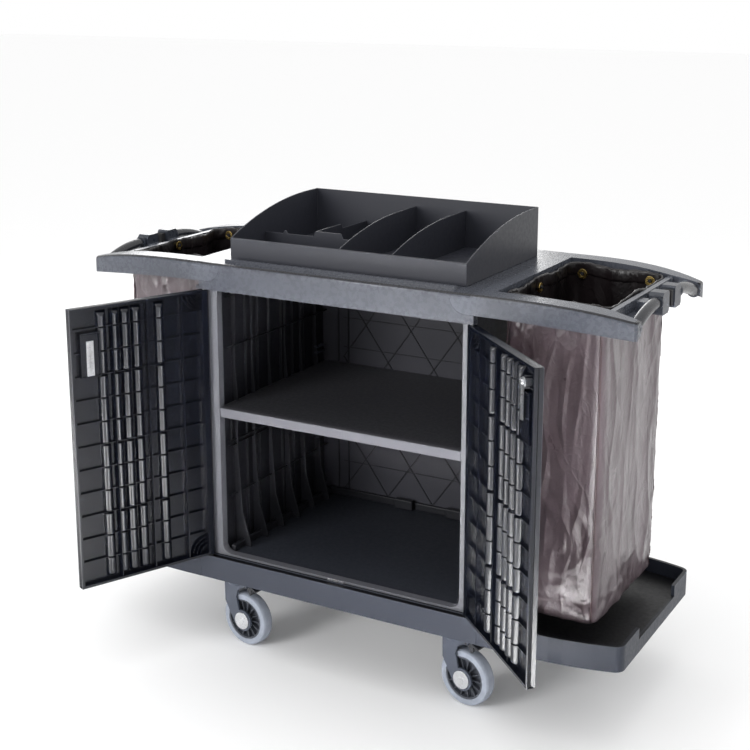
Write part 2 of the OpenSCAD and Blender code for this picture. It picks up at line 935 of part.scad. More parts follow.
module door(left) {
    color(black)
        door_place(left)
            door_blank(left);
}

module hinge_pins() {
    color(zinc)
        for (x = [-hinge_x, hinge_x]) {
            translate([x, hinge_y, base_top - pin_depth])
                cylinder(r = pin_radius, h = pin_depth + door_z0 - base_top + pin_depth - 4);
            translate([x, hinge_y, door_z1 - pin_depth + 4])
                cylinder(r = pin_radius, h = beam_z0 - door_z1 + 2 * pin_depth - 8);
        }
}

// Small plate on the sill where the two doors meet.
module door_stop() {
    color(zinc)
        box([-24, frame_front - 2 * door_clear / 3, base_top], [24, frame_front, opening_z0 - 1]);
}

module lock_housing() {
    half = door_thickness / 2;
    color(zinc)
        door_place(false)
            difference() {
                union() {
                    translate([lock_x, half + touch, lock_z])
                        rotate([90, 0, 0])
                            cylinder(r = housing_radius, h = door_thickness + 2 * touch);
                    translate([lock_x, -half, lock_z])
                        rotate([90, 0, 0])
                            cylinder(r = housing_radius + 4, h = 2);
                }
                translate([lock_x, half + over, lock_z])
                    rotate([90, 0, 0])
                        cylinder(r = core_radius + fit, h = door_thickness + 4);
            }
}

module lock_cam() {
    half = door_thickness / 2;
    color(zinc)
        door_place(false)
            difference() {
                union() {
                    translate([lock_x, half + 0.8, lock_z])
                        rotate([90, 0, 0])
                            cylinder(r = core_radius, h = door_thickness + 1.5);
                    translate([lock_x - 7, half + 0.8, lock_z - cam_length])
                        cube([14, 2.5, cam_length]);
                    translate([lock_x, half + 3.3, lock_z])
                        rotate([90, 0, 0])
                            cylinder(r = core_radius + 1, h = 2.5);
                    translate([lock_x, half + 3.3 + 4, lock_z])
                        rotate([90, 0, 0])
                            cylinder(r = 6, h = 5);
                }
                upright(half, half + 4)
                    translate([lock_x, lock_z - 28])
                        circle(4);
                box([lock_x - 1, -half - 4, lock_z - 4], [lock_x + 1, -half + 4, lock_z + 4]);
            }
}

module latch_plate() {
    half = door_thickness / 2;
    mid = (platform_x[0] + platform_x[1]) / 2;
    color(zinc)
        door_place(true)
            difference() {
                box([mid - 10, half - 6, platform_z[0]], [mid + 10, half - 3, platform_z[1]]);
                for (z = [platform_z[0] + 5.5, platform_z[1] - 5.5])
                    translate([mid, half - 6 - over, z])
                        rotate([-90, 0, 0])
                            cylinder(r = 2, h = 6);
            }
}

module latch_screws() {
    half = door_thickness / 2;
    mid = (platform_x[0] + platform_x[1]) / 2;
    color(grey)
        door_place(true)
            for (z = [platform_z[0] + 5.5, platform_z[1] - 5.5])
                translate([mid, half - 6, z])
                    rotate([-90, 0, 0]) {
                        cylinder(r = 2, h = 4);
                        translate([0, 0, 3])
                            cylinder(r = 4, h = 2.2);
                    }
}

// ---------------------------------------------------------------- casters

module at_stems() {
    for (i = [0 : 3])
        translate(concat(stem(i), [0]))
            children();
}

// A caster's own frame: swivel axis at its origin, trailing towards +X.
module caster_place(i) {
    translate(concat(stem(i), [0]))
        rotate([0, 0, swing[i]])
            children();
}

module caster_plates() {
    size = caster_plate_size;
    color(zinc)
        at_stems()
            difference() {
                union() {
                    translate([-size[0] / 2, -size[1] / 2, caster_height - size[2]])
                        cube(size);
                    translate([0, 0, crown_top + 0.4])
                        cylinder(r = crown_radius - 2, h = caster_height - size[2] - crown_top - 0.4);
                }
                translate([0, 0, crown_top - over])
                    cylinder(r = 6, h = 20);
                for (x = [-caster_bolt_x, caster_bolt_x], y = [-caster_bolt_y, caster_bolt_y])
                    translate([x, y, caster_height - 2 * size[2]])
                        cylinder(r = bolt_radius, h = 3 * size[2]);
            }
}

module caster_bolts() {
    plate_bottom = caster_height - caster_plate_size[2];
    color(grey)
        at_stems()
            for (x = [-caster_bolt_x, caster_bolt_x], y = [-caster_bolt_y, caster_bolt_y])
                translate([x, y, plate_bottom - 4]) {
                    cylinder(r = 5.5, h = 4, $fn = 6);
                    cylinder(r = bolt_radius, h = 4 + caster_plate_size[2] + pad_height - 1);
                }
}

module kingpins() {
    color(zinc)
        at_stems() {
            translate([0, 0, crown_bottom - 4.3])
                cylinder(r = 10, h = 4);
            translate([0, 0, crown_bottom - 1])
                cylinder(r = 6, h = caster_height - crown_bottom + 1);
        }
}

module cheek() {
    polygon([
        [-crown_radius, crown_top], [crown_radius, crown_top], [crown_radius, crown_bottom],
        [14, crown_bottom - 12], [7, crown_bottom - 34], [16, wheel_radius + 30],
        [caster_trail, wheel_radius], [2, wheel_radius - 15], [-crown_radius + 1, wheel_radius + 46]
    ]);
    translate([caster_trail, wheel_radius])
        circle(30);
}

module fork(i) {
    cheek_out = cheek_in + cheek_thickness;
    braked = i < 2;
    color(fork_colour)
        caster_place(i)
            difference() {
                union() {
                    upright(-cheek_out, -cheek_in)
                        cheek();
                    upright(cheek_in, cheek_out)
                        cheek();
                    translate([0, 0, crown_bottom])
                        cylinder(r = crown_radius, h = crown_top - crown_bottom);
                    if (braked)
                        for (y = [-cheek_out, cheek_in])
                            translate([0, y, 0])
                                box(
                                    [crown_radius - 8, 0, crown_bottom],
                                    [brake_pivot[0] + 6, cheek_thickness, crown_top]
                                );
                }
                translate([0, 0, crown_bottom - over])
                    cylinder(r = 6 + fit, h = 20);
                translate([caster_trail, cheek_out + over, wheel_radius])
                    rotate([90, 0, 0])
                        cylinder(r = axle_radius, h = 2 * (cheek_out + over));
                if (braked)
                    translate([brake_pivot[0], cheek_out + over, brake_pivot[1]])
                        rotate([90, 0, 0])
                            cylinder(r = 3 + fit, h = 2 * (cheek_out + over));
            }
}

module axle(i) {
    cheek_out = cheek_in + cheek_thickness;
    color(zinc)
        caster_place(i)
            translate([caster_trail, 0, wheel_radius])
                rotate([90, 0, 0]) {
                    cylinder(r = axle_radius, h = 2 * cheek_out, center = true);
                    for (s = [0, 1])
                        mirror([0, 0, s]) {
                            translate([0, 0, cheek_out])
                                cylinder(r = 24, h = 3.5);
                            translate([0, 0, cheek_out + 3])
                                cylinder(r = 9, h = 3.5, $fn = 6);
                        }
                }
}

module hub(i) {
    rim = wheel_radius - 18;
    spokes = 14;
    color(grey)
        caster_place(i)
            translate([caster_trail, 0, wheel_radius])
                rotate([90, 0, 0])
                    difference() {
                        union() {
                            cylinder(r = 17, h = hub_width, center = true);
                            cylinder(r = rim, h = 4, center = true);
                            difference() {
                                cylinder(r = rim, h = wheel_width - 2, center = true);
                                cylinder(r = rim - 5, h = wheel_width, center = true);
                            }
                            for (k = [0 : spokes - 1])
                                rotate([0, 0, k * 360 / spokes])
                                    translate([15, -1.5, -wheel_width / 2 + 4])
                                        cube([rim - 18, 3, wheel_width - 8]);
                        }
                        cylinder(r = axle_radius + fit, h = hub_width + 2, center = true);
                    }
}

module tyre(i) {
    half = wheel_width / 2;
    color(grey)
        caster_place(i)
            translate([caster_trail, 0, wheel_radius])
                rotate([90, 0, 0])
                    rotate_extrude()
                        polygon([
                            [wheel_radius - 18, -half], [wheel_radius - 4, -half],
                            [wheel_radius - 1, -half + 4], [wheel_radius, -half + 10],
                            [wheel_radius, half - 10], [wheel_radius - 1, half - 4],
                            [wheel_radius - 4, half], [wheel_radius - 18, half]
                        ]);
}

module brake(i) {
    cheek_out = cheek_in + cheek_thickness;
    width = 2 * cheek_in - 1;
    color(black)
        caster_place(i)
            translate([brake_pivot[0], 0, brake_pivot[1]]) {
                rotate([90, 0, 0])
                    cylinder(r = 3, h = 2 * cheek_out, center = true);
                rotate([90, 0, 0])
                    cylinder(r = 5.5, h = width, center = true);
                upright(-width / 2, width / 2)
                    polygon([
                        [0, 5], [12, 3], [34, -8], [33, -12], [18, -7], [16, -23], [12, -25], [0, -5]
                    ]);
            }
}

// ---------------------------------------------------------------- nodes

base_platform();
end_tray(true);  // end_tray_left
end_tray(false);  // end_tray_right
side_panel(true);  // side_panel_left
side_panel(false);  // side_panel_right
back_panel();
front_frame();
shelf();
top_deck();
organizer_tray();
organizer_divider(divider_left_x);  // organizer_divider_left
organizer_divider(divider_right_x);  // organizer_divider_right
organizer_low_cross();
organizer_low_side();
bag_frame(true);  // bag_frame_left
bag_frame(false);  // bag_frame_right
handle(true);  // handle_left
handle(false);  // handle_right
tool_holder(true);  // tool_holder_left
tool_holder(false);  // tool_holder_right
holder_pads(true);  // holder_pads_left
holder_pads(false);  // holder_pads_right
bag(true);  // bag_left
bag(false);  // bag_right
grommets(true);  // grommets_left
grommets(false);  // grommets_right
door(true);  // door_left
door(false);  // door_right
hinge_pins();
door_stop();
lock_housing();
lock_cam();
latch_plate();
latch_screws();
caster_plates();
caster_bolts();
kingpins();
for (i = [0 : 3]) {
    fork(i);
    axle(i);
    hub(i);
    tyre(i);
}
for (i = [0 : 1])
    brake(i);
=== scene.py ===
"""Housekeeping cart: looks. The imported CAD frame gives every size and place."""

import json
import math

import bmesh
import bpy
from mathutils import Matrix, Vector, noise


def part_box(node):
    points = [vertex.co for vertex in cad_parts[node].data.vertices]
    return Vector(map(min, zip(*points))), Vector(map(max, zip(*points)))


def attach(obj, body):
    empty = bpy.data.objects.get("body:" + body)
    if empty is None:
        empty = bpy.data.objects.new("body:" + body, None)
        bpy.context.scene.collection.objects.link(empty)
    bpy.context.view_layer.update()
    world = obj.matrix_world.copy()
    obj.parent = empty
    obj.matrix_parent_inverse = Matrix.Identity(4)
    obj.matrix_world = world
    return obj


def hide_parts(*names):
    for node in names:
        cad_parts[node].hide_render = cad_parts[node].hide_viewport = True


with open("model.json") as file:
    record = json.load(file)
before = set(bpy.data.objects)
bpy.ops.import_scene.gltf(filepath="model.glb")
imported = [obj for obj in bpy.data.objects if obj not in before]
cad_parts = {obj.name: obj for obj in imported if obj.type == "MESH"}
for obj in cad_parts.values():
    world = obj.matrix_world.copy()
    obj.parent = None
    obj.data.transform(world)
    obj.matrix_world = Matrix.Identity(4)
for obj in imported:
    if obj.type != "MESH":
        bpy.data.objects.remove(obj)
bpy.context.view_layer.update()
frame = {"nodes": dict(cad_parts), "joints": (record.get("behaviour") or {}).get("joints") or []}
nodes = frame["nodes"]
joints = {j["name"]: j for j in frame["joints"]}
MM = 0.001


# ------------------------------------------------------------------ camera, floor, light

# The camera fitted to the photograph: place in metres, turn in degrees, lens in millimetres.
CAMERA_PLACE = (1.7585, -3.1802, 1.8166)
CAMERA_AZIMUTH, CAMERA_ELEVATION = 29.43, 13.12
CAMERA_LENS, CAMERA_SENSOR, CAMERA_SHIFT_Y = 67.1, 36, -0.10
FLOOR_REACH = 30
POOL_HEIGHT, POOL_SPREAD = 0.9, 28


def make_camera():
    azimuth, elevation = math.radians(CAMERA_AZIMUTH), math.radians(CAMERA_ELEVATION)
    data = bpy.data.cameras.new("camera")
    data.lens = CAMERA_LENS
    data.sensor_width = CAMERA_SENSOR
    data.shift_y = CAMERA_SHIFT_Y
    data.clip_end = 2 * FLOOR_REACH
    camera = bpy.data.objects.new("camera", data)
    camera.location = CAMERA_PLACE
    camera.rotation_euler = (math.pi / 2 - elevation, 0, azimuth)
    bpy.context.scene.collection.objects.link(camera)
    bpy.context.scene.camera = camera


def lamp(name, place, turn, size, watts):
    """A white rectangular lamp, size in metres; it shines along its own -Z."""
    data = bpy.data.lights.new(name, "AREA")
    data.shape = "RECTANGLE"
    data.size, data.size_y = size
    data.energy = watts
    light = bpy.data.objects.new(name, data)
    light.location = place
    light.rotation_euler = turn
    bpy.context.scene.collection.objects.link(light)
    return data


def area_light(name, place, target, size, watts):
    turn = (Vector(target) - Vector(place)).to_track_quat("-Z", "Y").to_euler()
    lamp(name, place, turn, size, watts)


def floor_pool(name, centre, size, turn, watts):
    """A narrow downward lamp; the bars of the doors reflect the bright floor under it."""
    data = lamp(name, (*centre, POOL_HEIGHT), (0, 0, math.radians(turn)), size, watts)
    data.spread = math.radians(POOL_SPREAD)


def make_stage():
    mesh = bpy.data.meshes.new("floor")
    corners = [(sx * FLOOR_REACH, sy * FLOOR_REACH, 0) for sx, sy in ((-1, -1), (1, -1), (1, 1), (-1, 1))]
    mesh.from_pydata(corners, [], [(0, 1, 2, 3)])
    floor = bpy.data.objects.new("floor", mesh)
    bpy.context.scene.collection.objects.link(floor)
    floor.data.materials.append(plain("floor_paper", (0.97, 0.97, 0.97), 0.95))
    make_sky()
    bpy.context.scene.view_settings.view_transform = "Standard"
    area_light("key", (-1.6, -4.4, 2.0), (0, 0, 0.7), (1.6, 2.2), 115)
    floor_pool("pool_right", (2.1, -2.0), (4.2, 0.42), -30, 120)
    floor_pool("pool_left", (-0.75, -2.2), (1.6, 0.5), 56, 45)
    area_light("top", (0.2, -0.6, 4.2), (0, 0, 0.5), (2.6, 2.6), 25)
    area_light("back", (-2.8, 4.2, 2.3), (0, 0, 1.0), (2.8, 1.3), 52)


def make_sky():
    """An even white room round the cart."""
    world = bpy.data.worlds.new("studio")
    world.use_nodes = True
    world.node_tree.nodes["Background"].inputs["Color"].default_value = (1, 1, 1, 1)
    world.node_tree.nodes["Background"].inputs["Strength"].default_value = 1.0
    bpy.context.scene.world = world


# ------------------------------------------------------------------ materials

def plain(name, colour, roughness):
    material = bpy.data.materials.new(name)
    material.use_nodes = True
    shader = material.node_tree.nodes["Principled BSDF"]
    shader.inputs["Base Color"].default_value = (*colour, 1)
    shader.inputs["Roughness"].default_value = roughness
    return material


# Plan and drop of the rails, in metres, as in the CAD model.
BASE_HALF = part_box("base_platform")[1].x
RAIL_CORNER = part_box("bag_frame_right")[1]
HALF_LENGTH, HALF_DEPTH, DECK_TOP = RAIL_CORNER.x - 0.001, RAIL_CORNER.y, RAIL_CORNER.z
END_DRAW, RAIL_DROP = 0.040, 0.031
# Where the painted dark reflection on the rim fades out, from the edge inwards and from the top downwards.
RIM_WIDTH, RIM_HEIGHT = (0.0065, 0.0085), (0.0030, 0.0050)


class Shader:
    """A Principled material with short calls for its noise, ramps and bumps."""

    def __init__(self, name, **constants):
        self.material = bpy.data.materials.new(name)
        self.material.use_nodes = True
        self.tree = self.material.node_tree
        self.bsdf = self.tree.nodes["Principled BSDF"]
        for socket, value in constants.items():
            self.bsdf.inputs[socket.replace("_", " ")].default_value = value
        self.place = self.add("ShaderNodeTexCoord").outputs["Object"]
        self.normal = None

    def add(self, kind, **settings):
        node = self.tree.nodes.new(kind)
        for key, value in settings.items():
            setattr(node, key, value)
        return node

    def link(self, output, target):
        self.tree.links.new(output, target)

    def noise(self, scale, detail=4, rough=0.55, stretch=(1, 1, 1)):
        mapping = self.add("ShaderNodeMapping")
        mapping.inputs["Scale"].default_value = stretch
        self.link(self.place, mapping.inputs["Vector"])
        node = self.add("ShaderNodeTexNoise")
        node.inputs["Scale"].default_value = scale
        node.inputs["Detail"].default_value = detail
        node.inputs["Roughness"].default_value = rough
        self.link(mapping.outputs["Vector"], node.inputs["Vector"])
        return node.outputs["Fac"]

    def creases(self, scale, stretch):
        """Sharp crests between soft hollows, as in crumpled cloth."""
        mapping = self.add("ShaderNodeMapping")
        mapping.inputs["Scale"].default_value = stretch
        self.link(self.place, mapping.inputs["Vector"])
        far = self.add("ShaderNodeTexVoronoi", feature="F2", distance="EUCLIDEAN")
        near = self.add("ShaderNodeTexVoronoi", feature="F1", distance="EUCLIDEAN")
        warp = self.add("ShaderNodeTexNoise")
        warp.inputs["Scale"].default_value = scale * 0.35
        warp.inputs["Detail"].default_value = 3
        self.link(mapping.outputs["Vector"], warp.inputs["Vector"])
        bent = self.add("ShaderNodeVectorMath", operation="MULTIPLY_ADD")
        bent.inputs[1].default_value = (0.10, 0.10, 0.10)
        self.link(warp.outputs["Color"], bent.inputs[0])
        self.link(mapping.outputs["Vector"], bent.inputs[2])
        for cells in (far, near):
            cells.inputs["Scale"].default_value = scale
            self.link(bent.outputs["Vector"], cells.inputs["Vector"])
        gap = self.add("ShaderNodeMath", operation="SUBTRACT")
        self.link(far.outputs["Distance"], gap.inputs[0])
        self.link(near.outputs["Distance"], gap.inputs[1])
        return self.spread(gap.outputs["Value"], 1, 0, 0, 0.5)

    def spread(self, value, low, high, a=0.3, b=0.7):
        """Maps a value from a..b to low..high, and holds it there."""
        node = self.add("ShaderNodeMapRange")
        node.inputs["From Min"].default_value = a
        node.inputs["From Max"].default_value = b
        node.inputs["To Min"].default_value = low
        node.inputs["To Max"].default_value = high
        self.link(value, node.inputs["Value"])
        return node.outputs["Result"]

    def blend(self, factor, first, second):
        """Mixes two colours, each a fixed one or a socket."""
        node = self.add("ShaderNodeMix", data_type="RGBA")
        for socket, value in ((node.inputs[6], first), (node.inputs[7], second)):
            if isinstance(value, tuple):
                socket.default_value = (*value, 1)
            else:
                self.link(value, socket)
        self.link(factor, node.inputs[0])
        return node.outputs[2]

    def bump(self, height, distance, strength=1.0):
        """Adds relief on top of the bumps already there."""
        node = self.add("ShaderNodeBump")
        node.inputs["Distance"].default_value = distance
        node.inputs["Strength"].default_value = strength
        self.link(height, node.inputs["Height"])
        if self.normal:
            self.link(self.normal, node.inputs["Normal"])
        self.normal = node.outputs["Normal"]
        self.link(self.normal, self.bsdf.inputs["Normal"])

    def edge_wear(self, low=0.52, high=0.6):
        """1 on convex edges, 0 on flats."""
        geometry = self.add("ShaderNodeNewGeometry")
        return self.spread(geometry.outputs["Pointiness"], 0, 1, low, high)

    def upward_shade_mask(self):
        """1 on faces that look up, 0 on upright ones: where the painted shade on tops goes."""
        geometry = self.add("ShaderNodeNewGeometry")
        split = self.add("ShaderNodeSeparateXYZ")
        self.link(geometry.outputs["Normal"], split.inputs["Vector"])
        return self.spread(split.outputs["Z"], 0, 1, 0.35, 0.85)

    def math(self, operation, *values):
        node = self.add("ShaderNodeMath", operation=operation)
        for socket, value in zip(node.inputs, values):
            if isinstance(value, (int, float)):
                socket.default_value = value
            else:
                self.link(value, socket)
        return node.outputs["Value"]

    def dark_rim_reflection_mask(self):
        """1 in a narrow band round the outer top edge of the deck and of the bag frames' rails, where a
        dark reflection is painted.
        """
        split = self.add("ShaderNodeSeparateXYZ")
        self.link(self.place, split.inputs["Vector"])
        x = self.math("ABSOLUTE", split.outputs["X"])
        y = self.math("ABSOLUTE", split.outputs["Y"])
        run = self.math("MAXIMUM", self.math("SUBTRACT", x, BASE_HALF), 0)
        bend = self.math("POWER", self.math("DIVIDE", run, HALF_LENGTH - BASE_HALF), 3)
        side = self.math("SUBTRACT", self.math("MULTIPLY_ADD", bend, -END_DRAW, HALF_DEPTH), y)
        end = self.math("SUBTRACT", HALF_LENGTH, x)
        crest = self.math("MULTIPLY_ADD", bend, -RAIL_DROP, DECK_TOP)
        below = self.math("SUBTRACT", crest, split.outputs["Z"])
        near = self.spread(self.math("MINIMUM", side, end), 1, 0, *RIM_WIDTH)
        high = self.spread(below, 1, 0, *RIM_HEIGHT)
        return self.math("MULTIPLY", near, high)

    def colour(self, output):
        self.link(output, self.bsdf.inputs["Base Color"])

    def roughness(self, output):
        self.link(output, self.bsdf.inputs["Roughness"])


def moulded(name, colour, top=None, rough=(0.34, 0.5), grain=0.00012, worn=1.2, shine=0.4, edge=None):
    """Grained injection-moulded plastic with rubbed edges; painted shade darkens it where it faces up, and
    a painted dark reflection runs along the rails' top rim.
    """
    s = Shader(name, Specular_IOR_Level=shine)
    light = tuple(min(1, c * 1.05 + 0.0003) for c in colour)
    base = s.blend(s.spread(s.noise(7, 5), 0, 1), colour, light)
    # Painted shade: faces that look up take the darker top colour.
    if top:
        base = s.blend(s.upward_shade_mask(), base, top)
    rubbed = tuple(min(1, c * worn + 0.03 * (worn - 1)) for c in colour)
    base = s.blend(s.edge_wear(), base, rubbed)
    # Painted reflection: a dark band along the rounded top rim of the deck and the rails.
    if edge:
        base = s.blend(s.dark_rim_reflection_mask(), base, edge)
    s.colour(base)
    s.roughness(s.spread(s.noise(90, 5, 0.6), *rough))
    s.bump(s.noise(1500, 2), grain, 0.55)
    s.bump(s.noise(5, 2), 0.0012, 0.06)
    return s.material


def rubber(name, colour, rough=(0.55, 0.72)):
    s = Shader(name, Specular_IOR_Level=0.35)
    dusty = tuple(min(1, c * 1.25 + 0.01) for c in colour)
    s.colour(s.blend(s.spread(s.noise(38, 6, 0.7), 0, 1), colour, dusty))
    s.roughness(s.spread(s.noise(60, 4), *rough))
    s.bump(s.noise(900, 3), 0.0002, 0.5)
    return s.material


def metal(name, colour, rough, scratch=(1, 1, 12)):
    s = Shader(name, Metallic=1.0)
    dark = tuple(c * 0.78 for c in colour)
    s.colour(s.blend(s.spread(s.noise(45, 5), 0, 1), dark, colour))
    s.roughness(s.spread(s.noise(140, 4, 0.6, scratch), *rough))
    s.bump(s.noise(320, 3, 0.6, scratch), 0.00012, 0.4)
    return s.material


def painted(name, colour):
    s = Shader(name, Coat_Weight=0.25, Coat_Roughness=0.3, Specular_IOR_Level=0.5)
    chip = tuple(min(1, c * 1.6 + 0.02) for c in colour)
    s.colour(s.blend(s.edge_wear(0.55, 0.66), colour, chip))
    s.roughness(s.spread(s.noise(30, 5), 0.32, 0.5))
    s.bump(s.noise(420, 2), 0.0003, 0.35)
    return s.material


def coated_cloth(name, colour, shade, shine=0.5):
    """Thin coated nylon: fine weave, soft creases, streaks of tone and a slight shine."""
    s = Shader(name, Specular_IOR_Level=shine, Coat_Weight=shine * 0.8, Coat_Roughness=0.16)
    streaks = s.noise(11, 8, 0.64, (1, 1, 0.22))
    s.colour(s.blend(s.spread(streaks, 0, 1, 0.34, 0.66), shade, colour))
    s.roughness(s.spread(s.noise(24, 6, 0.6, (1, 1, 0.5)), 0.26, 0.46))
    for way in ("DIAGONAL", "Z"):
        threads = s.add("ShaderNodeTexWave", bands_direction=way)
        threads.inputs["Scale"].default_value = 520
        s.link(s.place, threads.inputs["Vector"])
        s.bump(threads.outputs["Fac"], 0.00005, 0.25)
    s.bump(s.creases(16, (1, 1, 0.4)), 0.0048, 0.9)
    s.bump(s.creases(52, (1, 1, 0.7)), 0.0007, 0.6)
    return s.material


def make_materials():
    """All looks, by the name that the pieces use for them."""
    made = {}

    def make(maker, name, *colours, **settings):
        made[name] = maker(name, *colours, **settings)

    # The edge colour is a dark reflection painted along the rails' rounded top rim.
    rim = dict(rough=(0.26, 0.29), edge=(0.006, 0.006, 0.009))
    # Painted shade for the tops of the base and the shelf.
    shadowed = (0.001, 0.001, 0.0015)
    make(moulded, "grey_plastic", (0.046, 0.050, 0.063), **rim)
    make(moulded, "rail_plastic", (0.050, 0.055, 0.069), **rim)
    make(moulded, "base_plastic", (0.034, 0.038, 0.050), top=shadowed, shine=0.12)
    # The tray's top colour is painted shade as well.
    make(moulded, "tray_plastic", (0.028, 0.032, 0.044), top=(0.006, 0.006, 0.007), shine=0.2)
    make(moulded, "black_plastic", (0.012, 0.0125, 0.016), shine=0.25)
    make(moulded, "back_plastic", (0.036, 0.036, 0.045), shine=0.3)
    make(moulded, "jamb_plastic", (0.108, 0.110, 0.124), rough=(0.3, 0.42))
    make(moulded, "shelf_plastic", (0.12, 0.12, 0.135), top=shadowed, shine=0.04)
    make(moulded, "door_plastic", (0.0028, 0.0038, 0.0078), rough=(0.22, 0.27), shine=0.5, worn=1.02)
    make(moulded, "organizer_plastic", (0.025, 0.0265, 0.035), shine=0.35)
    make(moulded, "handle_plastic", (0.015, 0.016, 0.02), rough=(0.2, 0.3), shine=0.5)
    make(moulded, "holder_plastic", (0.024, 0.028, 0.038), rough=(0.24, 0.36))
    make(rubber, "pad_rubber", (0.014, 0.014, 0.015))
    make(coated_cloth, "bag_cloth", (0.118, 0.091, 0.103), (0.062, 0.043, 0.050))
    # The inner colour is painted near-black for the shade inside the bag and its hem.
    make(coated_cloth, "bag_lining", (0.013, 0.0095, 0.0105), (0.004, 0.003, 0.0035), shine=0.28)
    make(coated_cloth, "seam_tape", (0.050, 0.028, 0.033), (0.026, 0.013, 0.016))
    make(rubber, "thread", (0.11, 0.06, 0.068))
    make(metal, "brass", (0.80, 0.58, 0.20), rough=(0.16, 0.34))
    make(painted, "fork_paint", (0.050, 0.060, 0.085))
    make(moulded, "hub_plastic", (0.050, 0.055, 0.068), rough=(0.3, 0.45))
    make(rubber, "tyre_rubber", (0.25, 0.275, 0.325))
    make(metal, "zinc_steel", (0.78, 0.79, 0.81), rough=(0.22, 0.42))
    return made


# ------------------------------------------------------------------ mesh helpers

def make_piece(name, points, faces, material, body, smooth=True):
    """A mesh that rides on a body, with its look and the name of its material slot."""
    mesh = bpy.data.meshes.new(name)
    mesh.from_pydata([tuple(p) for p in points], [], faces)
    mesh.validate()
    shape = bmesh.new()
    shape.from_mesh(mesh)
    bmesh.ops.recalc_face_normals(shape, faces=shape.faces)
    shape.to_mesh(mesh)
    shape.free()
    piece = bpy.data.objects.new(name, mesh)
    bpy.context.scene.collection.objects.link(piece)
    mesh.materials.append(materials[material])
    if smooth:
        mesh.shade_smooth()
    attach(piece, body)
    return piece


def bevel(piece, width, segments=2, angle=40):
    modifier = piece.modifiers.new("soft_edges", "BEVEL")
    modifier.width = width
    modifier.segments = segments
    modifier.limit_method = "ANGLE"
    modifier.angle_limit = math.radians(angle)
    modifier.harden_normals = False
    modifier.use_clamp_overlap = True


def block(points, faces, low, high, tilt=None):
    """Adds a box from low to high to a growing list of points and faces."""
    first = len(points)
    corners = [
        Vector((x, y, z)) for z in (low[2], high[2]) for y in (low[1], high[1]) for x in (low[0], high[0])
    ]
    if tilt:
        corners = [tilt @ c for c in corners]
    points.extend(corners)
    for face in ((0, 1, 3, 2), (4, 6, 7, 5), (0, 4, 5, 1), (2, 3, 7, 6), (0, 2, 6, 4), (1, 5, 7, 3)):
        faces.append([first + k for k in face])


def strip(points, faces, path, across, thick):
    """Adds a closed ribbon along a path: across and thick are half sizes as vectors per point."""
    first = len(points)
    for p, a, t in zip(path, across, thick):
        points.extend([p - a - t, p + a - t, p + a + t, p - a + t])
    for k in range(len(path) - 1):
        for i in range(4):
            a, b = first + 4 * k + i, first + 4 * k + (i + 1) % 4
            faces.append([a, b, b + 4, a + 4])
    faces.append([first + i for i in (3, 2, 1, 0)])
    last = first + 4 * (len(path) - 1)
    faces.append([last + i for i in range(4)])


# ------------------------------------------------------------------ doors

class DoorPlace:
    """A door's own frame: +X from the hinge to the free edge, -Y outwards."""

    def __init__(self, side):
        joint = joints[side + "_door_hinge"]
        self.hinge = Vector(joint["pos_m"])
        self.left = side == "left"
        limits = joint["range_deg"]
        self.angle = math.radians(-limits[1] if self.left else limits[0])
        self.turn = Matrix.Rotation(self.angle, 4, "Z")

    def out(self, p):
        q = self.turn @ Vector(p)
        return Vector((self.hinge.x + (q.x if self.left else -q.x), self.hinge.y + q.y, q.z))

    def back(self, p):
        x = p[0] - self.hinge.x
        q = Vector((x if self.left else -x, p[1] - self.hinge.y, p[2]))
        return self.turn.inverted() @ q


def lines_between(low, high, step):
    count = max(1, round((high - low) / step))
    return [low + (high - low) * k / count for k in range(count + 1)]


